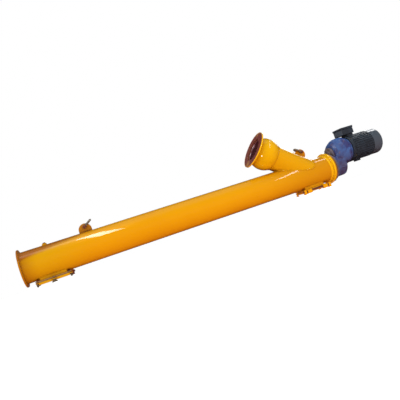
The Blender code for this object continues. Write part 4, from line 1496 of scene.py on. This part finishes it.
    def box_weld(self, shape: Shape, length: float, width: float) -> None:
        """Lay the weld between the box and the round tube.

        Args:
            shape: The shape that takes it.
            length: The box's size along the tube.
            width: Its size across the tube.
        """
        bead = self.bead
        outline = rounded_box(length + bead, width + bead, 0.011, 12)
        loop = []
        for (x, y), (x2, y2) in zip(outline, outline[1:] + outline[:1]):
            pieces = max(1, round(math.hypot(x2 - x, y2 - y) / 0.0011))
            loop += [(x + (x2 - x) * i / pieces, y + (y2 - y) * i / pieces) for i in range(pieces)]
        radius = self.casing_radius + bead * 0.3
        seam = [Vector((self.centre + x, y, AXIS_Z - math.sqrt(radius ** 2 - y * y))) for x, y in loop]
        shape.sweep(stations(seam, UP, closed=True, ripple=0.18), bead, 7, closed=True)

    def gasket(self) -> None:
        """Make the rubber gasket."""
        length, width = self.lip
        inner = (self.box[0] - 2 * self.box_wall, self.box[1] - 2 * self.box_wall)
        loops = [rounded_box(length - 0.006, width - 0.006, 0.007), rounded_box(*inner, 0.005)]
        shape = Shape().plate(loops, self.gasket_bottom, self.lip_bottom - GAP, self.at(), PLATE_EDGE)
        shape.finish(f"{self.name}_seal", "black_rubber", Finish.RUBBER,
                     stands_for=[f"{self.name}_hatch_gasket"])

    def cover(self) -> None:
        """Make the tray-shaped cover with its ears, stiffeners and hinge knuckles."""
        length, width = self.lip
        outline = rounded_box(length, width, 0.008)
        shape = Shape().plate([outline], self.plate_bottom, self.cover_top, self.at(), PLATE_EDGE)
        rim = [outline, rounded_box(length - 2 * self.rim, width - 2 * self.rim, 0.005)]
        shape.plate(rim, self.cover_bottom, self.plate_bottom + 0.0004, self.at(), PLATE_EDGE)
        half_width = width / 2 - 0.003
        for x in self.stiffener_places:
            low = (self.centre + x - 0.002, -half_width, self.plate_bottom - self.stiffener_depth)
            high = (self.centre + x + 0.002, half_width, self.plate_bottom + 0.0004)
            shape.block(low, high, edge=FINE_EDGE)
        for x, y, outward in self.screws:
            loops, at = self.ear(x, y, outward, self.screw_radius + GAP)
            shape.plate(loops, self.plate_bottom + 0.0001, self.cover_top - 0.0001, at, 0.0007)
        for end in (-1.0, 1.0):
            self.knuckle(shape, self.centre + end * self.knuckle_spread)
        shape.finish(f"{self.name}_cover", "yellow_enamel", self.paint, body=f"{self.name}_hatch",
                     stands_for=[f"{self.name}_hatch_cover"])

    def knuckle(self, shape: Shape, x: float) -> None:
        """Add one barrel round the rod with its strap.

        Args:
            shape: The shape that takes it.
            x: The place of its middle along the tube.
        """
        strap_end = self.rod_y - self.lip[1] / 2 + self.rim / 2
        top = self.cover_top - self.rod_z - 0.0004
        bottom = self.knuckle_bottom - self.rod_z
        start = math.degrees(math.asin(top / self.knuckle_radius))
        corner = (0.004 - self.knuckle_radius, bottom + 0.004)
        outline = [(strap_end, bottom), (strap_end, top), *arc(self.knuckle_radius, start, 180.0, 24),
                   *arc(0.004, 180.0, 270.0, 5, corner)]
        loops = [outline, circle(self.rod_radius + GAP, 24)]
        back = Vector((0.0, -self.side, 0.0))
        at = Matrix.Translation((x, self.side * self.rod_y, self.rod_z)) @ Matrix(
            (back, UP, back.cross(UP))).transposed().to_4x4()
        half = self.knuckle_length / 2
        shape.plate(loops, -half, half, at, 0.0012)

    def rod(self) -> None:
        """Make the hinge rod with a washer and a split pin at each end."""
        half = self.rod_length / 2
        base = Matrix.Translation((self.centre, self.side * self.rod_y, self.rod_z)) @ Matrix.Rotation(
            math.radians(90.0), 4, "Y")
        shape = Shape().disc(self.rod_radius, -half, half, base, 28, 0.001)
        for end in (-1.0, 1.0):
            inner = end * (self.lug_offset + self.lug_thickness + 0.0004)
            low, high = sorted((inner, inner + end * 0.0016))
            shape.ring(0.0095, self.rod_radius, low, high, base, 24, 0.0003)
            line = [base @ Vector((x, 0.0, inner + end * 0.005)) for x in (-0.0085, 0.0, 0.0085)]
            shape.sweep(stations(line, ACROSS), 0.0011, 8)
        shape.finish(f"{self.name}_hinge_rod", "rusty_steel", Finish.RUST,
                     stands_for=[f"{self.name}_hatch_rod"])

    def wing_screw(self, number: int, x: float, y: float, outward: Vector) -> None:
        """Make a screw with a forged hub and two rounded wings.

        Args:
            number: The screw's number in its name.
            x: Its place along the hatch.
            y: Its place across it.
            outward: The direction in which its ear stands out.
        """
        at = Matrix.Translation((self.centre + x, y, 0.0))
        seat = self.plate_bottom - GAP
        hub_bottom = seat - self.hub_length
        tip = self.lip_top + 0.004
        profile = ((0.0, tip), (self.screw_radius - 0.001, tip), (self.screw_radius, tip - 0.001),
                   (self.screw_radius, seat), (0.009, seat), (0.009, seat - 0.0016), (0.0078, seat - 0.0018),
                   (0.0066, hub_bottom + 0.002), (0.0052, hub_bottom), (0.0, hub_bottom))
        shape = Shape().turn(profile, at, 28)
        turn = math.atan2(abs(outward.x), abs(outward.y))
        rounding, half = self.wing_rounding, self.wing_half_thickness
        outline = [(0.003, seat - 0.005), (0.008, seat - 0.0085),
                   *arc(rounding, 60.0, -100.0, 14, (self.wing_span / 2 - rounding, hub_bottom + 0.0022)),
                   (0.007, hub_bottom + 0.001), (0.003, hub_bottom + 0.001)]
        for way in (0.0, math.pi):
            plane = at @ Matrix.Rotation(turn + way, 4, "Z") @ Matrix.Rotation(math.radians(90.0), 4, "X")
            shape.plate([outline], -half, half, plane, PLATE_EDGE)
        paint = Finish.DARK_STEEL if number == 2 else self.end_screw_paint
        shape.finish(f"{self.name}_wing_{number}", "zinc_steel", paint, body=f"{self.name}_hatch",
                     stands_for=[f"{self.name}_wing_screw_{number}"])


@dataclass
class GearUnit:
    """Adapter, the two-part gear housing and the bearing cap.

    The bell's bolts are given by the radius of their circle and its place along the conveyor.
    """

    adapter: tuple[float, float] = (2.5096, 2.537)
    adapter_radius: float = 0.114
    adapter_neck: float = 0.108
    lower_radius: float = 0.100
    lower: tuple[float, float] = (2.5373, 2.650)
    cap: tuple[float, float] = (2.545, 2.575)
    cap_radius: float = 0.060
    upper_profile: tuple[Point, ...] = ((0.074, 2.5753), (0.090, 2.590), (0.112, 2.626), (0.118, 2.645),
                                        (0.118, 2.700), (0.104, 2.722), (0.104, 2.735))
    neck_half_width: float = 0.082
    rib_turns: tuple[float, ...] = (-150.0, -110.0, -70.0, -30.0, 30.0, 150.0)
    rib_half_width: float = 0.0045
    softness: float = 0.0036
    bell_bolts: tuple[float, float] = (0.108, 2.6995)

    def build(self) -> None:
        """Make every piece of the gear unit."""
        self.adapter_piece()
        self.housing()
        self.bearing_cap()

    def adapter_piece(self) -> None:
        """Make the stepped adapter."""
        start, end = self.adapter
        step = start + 0.012
        profile = ((0.0, end), (self.adapter_radius, end), (self.adapter_radius, step),
                   (self.adapter_neck, step), (self.adapter_neck, start), (0.0, start))
        shape = Shape().turn(profile, about_x(), 128, edge=0.0012)
        shape.finish("adapter", "motor_paint", Finish.BROWN, stands_for=["gear_adapter"])

    def housing(self) -> None:
        """Make the cast housing: lower drum with its ribs, neck, and the bell round the motor's axis."""
        start, end = self.lower
        radius = self.lower_radius
        profile = ((0.0, end), (radius * 0.8, end), (radius - 0.006, end - 0.012),
                   (radius - 0.004, start + 0.030), (radius, start + 0.014), (radius, start), (0.0, start))
        shape = Shape().turn(profile, about_x(), 96)
        neck = self.neck_half_width
        shape.block((start + 0.040, -neck, AXIS_Z), (end, neck, MOTOR_AXIS_Z), edge=0.014, segments=4)
        half = self.rib_half_width
        for turn in self.rib_turns:
            at = about_x() @ Matrix.Rotation(math.pi - math.radians(turn), 4, "Z")
            shape.block((radius - 0.014, -half, start + 0.010), (radius - 0.001, half, end - 0.014), at)
        at = about_x(0.0, MOTOR_AXIS_Z)
        outline = tuple(reversed(self.upper_profile))
        shape.turn(((0.0, outline[0][1]), *outline, (0.0, outline[-1][1])), at, 128)
        shape.meld(self.softness, 7)
        for place in bolt_circle(about_x(), radius - 0.010, 8, start + 0.012):
            Bolt(0.014, 0.006).add(shape, place, 1)
        for place in bolt_circle(at, self.bell_bolts[0], 8, self.bell_bolts[1]):
            Bolt(0.013, 0.0055).add(shape, place, 1)
        shape.finish("gear_case", "blue_enamel", Finish.BLUE, Finish.RUST,
                     stands_for=["gear_lower_housing", "gear_upper_housing"])

    def bearing_cap(self) -> None:
        """Turn the bearing cap and bolt it down."""
        start, end = self.cap
        at = about_x(0.0, MOTOR_AXIS_Z)
        radius = self.cap_radius
        profile = ((0.0, end), (radius, end), (radius, start + 0.014), (radius - 0.006, start + 0.010),
                   (radius * 0.55, start + 0.006), (radius * 0.5, start), (0.0, start))
        shape = Shape().turn(profile, at, 96, edge=0.002)
        for place in bolt_circle(at, radius - 0.012, 6, start + 0.009, flip=True):
            Bolt(0.010, 0.005).add(shape, place, 1)
        shape.finish("bearing_cover", "brown_primer", Finish.BROWN, Finish.DARK_STEEL,
                     stands_for=["gear_bearing_cap"])


@dataclass
class Motor:
    """Finned motor with its end shield, fan cowl and terminal box."""

    shield: tuple[float, float] = (2.7353, 2.762)
    radius: float = 0.112
    stator: tuple[float, float] = (2.7623, 2.958)
    fin_root: float = 0.1065
    fin_count: int = 36
    fin_thickness: float = 0.0125
    cowl: tuple[float, float] = (2.9583, 3.056)
    cowl_radius: float = 0.109
    cowl_rounding: float = 0.022
    cowl_sheet: float = 0.0022
    guard_holes: tuple[tuple[float, int], ...] = ((0.030, 12), (0.046, 18), (0.062, 24), (0.077, 30))
    guard_hole: float = 0.0048
    fan_radius: float = 0.070
    foot_x: tuple[float, float] = (2.795, 2.836)
    foot_half_width: float = 0.022
    box_low: Place = (2.712, -0.058, 0.346)
    box_high: Place = (2.832, 0.058, 0.392)
    box_foot_low: Place = (2.770, -0.045, 0.325)
    box_foot_high: Place = (2.826, 0.045, 0.350)
    lid_height: float = 0.018
    gland_radius: float = 0.013
    gland_length: float = 0.026

    def build(self) -> None:
        """Make every piece of the motor."""
        self.end_shield()
        self.finned_frame()
        self.fan_cowl()
        self.terminal_box()

    def end_shield(self) -> None:
        """Turn the end shield and bolt it down."""
        start, end = self.shield
        at = about_x(0.0, MOTOR_AXIS_Z)
        radius = self.radius
        profile = ((0.0, end), (radius - 0.005, end), (radius - 0.004, end - 0.010), (radius, end - 0.012),
                   (radius, start), (0.0, start))
        shape = Shape().turn(profile, at, 128, edge=0.0015)
        for place in bolt_circle(at, radius - 0.009, 4, end - 0.001, 0.5):
            Bolt(0.012, 0.006).add(shape, place, 1)
        shape.finish("drive_end_shield", "motor_paint", Finish.MOTOR, Finish.DARK_STEEL,
                     stands_for=["motor_end_shield"])

    def finned_frame(self) -> None:
        """Make the stator frame as a drum with cooling fins and a boss underneath."""
        start, end = self.stator
        at = about_x(0.0, MOTOR_AXIS_Z)
        shape = Shape().disc(self.fin_root, start, end, at, 96, 0.001)
        for i in range(self.fin_count):
            turn = at @ Matrix.Rotation(math.tau * (i + 0.5) / self.fin_count, 4, "Z")
            shape.block((self.fin_root - 0.002, -self.fin_thickness / 2, start + 0.006),
                        (self.radius - 0.0006, self.fin_thickness / 2, end - 0.003), turn, 0.0028)
        shape.block((self.foot_x[0], -self.foot_half_width, MOTOR_AXIS_Z - self.radius - 0.012),
                    (self.foot_x[1], self.foot_half_width, MOTOR_AXIS_Z - self.fin_root), edge=0.003)
        shape.finish("finned_frame", "motor_paint", Finish.MOTOR, stands_for=["motor_stator"])

    def fan_cowl(self) -> None:
        """Turn the pressed fan cowl, with its punched guard, a disc behind the guard, and screws."""
        start, end = self.cowl
        at = about_x(0.0, MOTOR_AXIS_Z)
        radius, rounding, sheet = self.cowl_radius, self.cowl_rounding, self.cowl_sheet
        corner = (radius - rounding, end - rounding)
        guard = radius - rounding
        profile = [(guard - 0.002, end), *arc(rounding, 90.0, 0.0, 8, corner), (radius, start),
                   (radius * 0.55, start), (radius * 0.55, start + sheet), (radius - sheet, start + sheet),
                   *arc(rounding - sheet, 0.0, 90.0, 8, corner), (guard - 0.002, end - sheet)]
        shape = Shape().turn(profile, at, 128, closed=True)
        holes = [circle(self.guard_hole, 10, place)
                 for away, count in self.guard_holes for place in circle(away, count)]
        shape.plate([circle(guard - 0.001, 96), *holes], end - sheet, end, at)
        shape.disc(self.fan_radius, start + 0.030, start + 0.034, at, 48, 0.001, 1)
        for turn in (45.0, 135.0, 225.0, 315.0):
            side = at @ Matrix.Rotation(math.radians(turn), 4, "Z")
            place = facing((radius - 0.0004, 0.0, start + 0.014), ALONG)
            Bolt(0.010, 0.003, 0.001).add(shape, side @ place, 1)
        shape.finish("fan_guard", "cowl_paint", Finish.COWL, Finish.MOTOR, stands_for=["motor_fan_cowl"])

    def terminal_box(self) -> None:
        """Make the terminal box with its foot, its lid and a closed gland."""
        low, high = Vector(self.box_low), Vector(self.box_high)
        shape = Shape().block(low, high, edge=0.004, segments=3)
        shape.block(self.box_foot_low, self.box_foot_high, edge=0.003)
        # The faces towards -X take the lighter cowl paint: painted light on that side of the box.
        shape.repaint(lambda centre, normal: normal.x < -0.7, 1)
        shape.finish("terminal_case", "motor_paint", Finish.MOTOR, Finish.COWL, stands_for=["terminal_box"])
        shape = Shape().block((low.x - 0.003, low.y - 0.003, high.z + GAP),
                              (high.x + 0.003, high.y + 0.003, high.z + GAP + self.lid_height), edge=0.004,
                              segments=3)
        shape.finish("terminal_cover", "motor_paint", Finish.MOTOR, stands_for=["terminal_box_lid"])
        gland = Matrix.Translation((high.x + GAP, 0.0, (low.z + high.z) / 2)) @ Matrix.Rotation(
            math.radians(90.0), 4, "Y")
        shape = Shape().disc(self.gland_radius, 0.0, 0.010, gland, 6, 0.001)
        shape.disc(self.gland_radius * 0.86, 0.010, self.gland_length, gland, 32, 0.002)
        shape.finish("blanked_gland", "motor_paint", Finish.MOTOR)


@dataclass(frozen=True)
class Panel:
    """A lit panel that shows only as a highlight in glossy surfaces."""

    name: str
    place: Place
    target: Place
    size: tuple[float, float]
    brightness: float
    roll: float = 0.0
    spread: float = 180.0

    def add(self) -> None:
        """Hang the panel, facing its target."""
        data = bpy.data.lights.new(self.name, "AREA")
        data.shape = "RECTANGLE"
        data.size, data.size_y = self.size
        half = math.radians(min(self.spread, 178.0)) / 2
        narrowing = 1.0 - half / math.tan(half)
        data.energy = self.brightness * math.pi * self.size[0] * self.size[1] * narrowing
        data.spread = math.radians(self.spread)
        lamp = bpy.data.objects.new(self.name, data)
        direction = Vector(self.target) - Vector(self.place)
        turn = direction.to_track_quat("-Z", "Y").to_matrix().to_4x4()
        roll = Matrix.Rotation(math.radians(self.roll), 4, "Z")
        lamp.matrix_world = Matrix.Translation(self.place) @ turn @ roll
        lamp.visible_camera = False
        lamp.visible_diffuse = False
        bpy.context.scene.collection.objects.link(lamp)


PANELS = (
    Panel("window", (0.66, -0.95, 2.47), (0.60, -0.09, 0.18), (0.32, 1.6), 13.0, 8.0),
    Panel("window_edge", (0.05, -0.10, 2.75), (0.30, -0.07, 0.19), (0.7, 0.9), 1.0),
    Panel("side_window", (3.317, -1.31, 1.885), (2.09, -0.095, 0.17), (1.2, 0.13), 9.0, 38.4),
    Panel("rear_light", (5.5, 3.4, 1.75), (2.18, -0.06, 0.34), (1.5, 1.2), 3.0),
    Panel("casing_light", (3.81, 0.15, 2.25), (2.41, -0.08, 0.20), (0.5, 0.25), 3.8, -16.0),
    Panel("motor_light", (4.58, 0.65, 1.98), (2.98, -0.06, 0.31), (1.3, 0.45), 8.5, -20.0, 22.0),
    Panel("branch_light", (4.42, 1.50, 1.48), (2.18, -0.07, 0.34), (1.4, 0.35), 3.0, -29.0, 30.0),
    Panel("ball_light", (-0.25, -2.14, -0.09), (1.98, 0.0, 0.39), (0.4, 0.4), 25.0, spread=25.0),
    Panel("front_wall", (1.2, -6.5, 1.5), (1.2, 0.0, 0.2), (9.0, 4.0), 0.05),
    Panel("rear_wall", (1.2, 6.5, 1.5), (1.2, 0.0, 0.2), (9.0, 4.0), 0.12),
    Panel("left_wall", (-5.0, 0.0, 1.5), (1.2, 0.0, 0.2), (6.0, 4.0), 0.15),
    Panel("ceiling", (1.2, 0.5, 5.0), (1.2, 0.0, 0.2), (7.0, 5.0), 0.2),
)


@dataclass
class Studio:
    """Camera, floor, panels and the pale surroundings."""

    eye: Place = (0.42526, -3.01943, 0.120)
    right: Place = (0.9109, -0.2685, -0.3133)
    up: Place = (0.2933, -0.1127, 0.9494)
    lens: float = 36.96
    sensor: float = 36.0
    clip: tuple[float, float] = (0.05, 60.0)
    floor_x: float = 1.5
    floor_z: float = -0.75
    floor_half: float = 14.0
    sky: Place = (-0.10, -0.78, 0.62)
    sky_softness: float = 0.2
    sky_strength: float = 1.14
    rear_strength: float = 0.14
    bounce_heights: tuple[float, float] = (0.1, -0.3)
    bounce: Colour = (0.46, 0.050, 0.005)

    def build(self) -> None:
        """Set up everything round the conveyor."""
        bpy.context.scene.view_settings.view_transform = "Standard"
        self.camera()
        self.surroundings()
        self.floor()
        for panel in PANELS:
            panel.add()

    def camera(self) -> None:
        """Place the camera at the photograph's viewpoint."""
        data = bpy.data.cameras.new("camera")
        data.lens = self.lens
        data.sensor_width = self.sensor
        data.clip_start, data.clip_end = self.clip
        obj = bpy.data.objects.new("camera", data)
        right, up = Vector(self.right).normalized(), Vector(self.up).normalized()
        back = right.cross(up).normalized()
        turn = Matrix((right, back.cross(right), back)).transposed().to_4x4()
        obj.matrix_world = Matrix.Translation(self.eye) @ turn
        bpy.context.scene.collection.objects.link(obj)
        bpy.context.scene.camera = obj

    def surroundings(self) -> None:
        """Make surroundings that are white to the eye, and light the part from the front and above.

        Matt surfaces take white light from the half of the sky round one direction, and a warm bounce from
        below. Glossy ones see only the panels.
        """
        world = bpy.data.worlds.new("surroundings")
        world.use_nodes = True
        world.cycles_visibility.glossy = False
        graph = Nodes(world.node_tree)
        background = graph.tree.nodes["Background"]
        direction = graph.node("ShaderNodeTexCoord", {}, {}, "Generated")
        towards = graph.node("ShaderNodeVectorMath", {"operation": "DOT_PRODUCT"},
                             {0: direction, 1: Vector(self.sky).normalized()}, "Value")
        share = graph.node("ShaderNodeMapRange", {"interpolation_type": "SMOOTHSTEP"},
                           {"Value": towards, "From Min": -self.sky_softness, "From Max": self.sky_softness,
                            "To Min": self.rear_strength, "To Max": self.sky_strength})
        height = graph.node("ShaderNodeSeparateXYZ", {}, {"Vector": direction}, "Z")
        above, deep = self.bounce_heights
        below = graph.node("ShaderNodeMapRange", {}, {"Value": height, "From Min": above, "From Max": deep})
        warm = graph.node("ShaderNodeVectorMath", {"operation": "MULTIPLY"}, {0: below, 1: self.bounce})
        total = graph.node("ShaderNodeVectorMath", {"operation": "ADD"}, {0: share, 1: warm})
        graph.feed(background.inputs["Color"], total)
        white = graph.node("ShaderNodeBackground", {}, {"Color": (1.0, 1.0, 1.0)})
        seen = graph.node("ShaderNodeLightPath", {}, {}, "Is Camera Ray")
        mix = graph.node("ShaderNodeMixShader", {},
                         {0: seen, 1: Wire(graph, background.outputs["Background"]), 2: white})
        graph.feed(graph.tree.nodes["World Output"].inputs["Surface"], mix)
        bpy.context.scene.world = world

    def floor(self) -> None:
        """Lay a plain pale floor that throws no light on the part."""
        part = bmesh.new()
        bmesh.ops.create_grid(part, x_segments=1, y_segments=1, size=self.floor_half)
        bmesh.ops.translate(part, verts=part.verts, vec=(self.floor_x, 0.0, self.floor_z))
        mesh = bpy.data.meshes.new("floor")
        part.to_mesh(mesh)
        part.free()
        obj = bpy.data.objects.new("floor", mesh)
        bpy.context.scene.collection.objects.link(obj)
        graph = Graph("pale_floor")
        graph.set("Base Color", (0.9, 0.9, 0.9))
        graph.set("Roughness", 0.9)
        graph.set("Emission Color", (1.0, 1.0, 1.0))
        graph.set("Emission Strength", 1.0)
        mesh.materials.append(graph.material)
        obj.visible_diffuse = False
        obj.visible_glossy = False


def main() -> None:
    """Build the studio and every sub-assembly."""
    logging.basicConfig(level=logging.INFO, format="%(message)s")
    Studio().build()
    inlet = Inlet()
    Casing().build(inlet)
    Screw().build()
    inlet.build()
    tilt = math.radians(inlet.angle)
    branch = Vector((-math.cos(tilt), 0.0, math.sin(tilt)))
    branch_up = Vector((math.sin(tilt), 0.0, math.cos(tilt)))
    Lifting("discharge", Vector((DISCHARGE_LUG_X, 0.0, AXIS_Z + CASING_RADIUS)), ALONG, UP,
            Vector((math.cos(SHACKLE_LEAN), 0.0, math.sin(SHACKLE_LEAN))), Finish.LUG_YELLOW).build()
    foot = Vector((inlet.foot_x, 0.0, AXIS_Z))
    Lifting("inlet", foot + branch * INLET_LUG_REACH + branch_up * inlet.radius, -branch, branch_up, branch,
            Finish.FLANGE_YELLOW).build()
    # The discharge hatch's hinge lugs take rust, which partly stands for the shade they lie in, and its lip's
    # edge takes the rubber's colour, widening the real gasket line with a painted shadow of the gap under the
    # cover.
    Hatch("discharge", DISCHARGE_HATCH_X, 1.0, Finish.YELLOW, Finish.RUST, Finish.RUBBER,
          Finish.DARK_STEEL).build()
    Hatch("inlet", INLET_HATCH_X, -1.0, Finish.CLEAN_YELLOW, Finish.CLEAN_YELLOW, Finish.CLEAN_YELLOW,
          Finish.CLEAN_YELLOW).build()
    GearUnit().build()
    Motor().build()


if __name__ == "__main__":
    main()
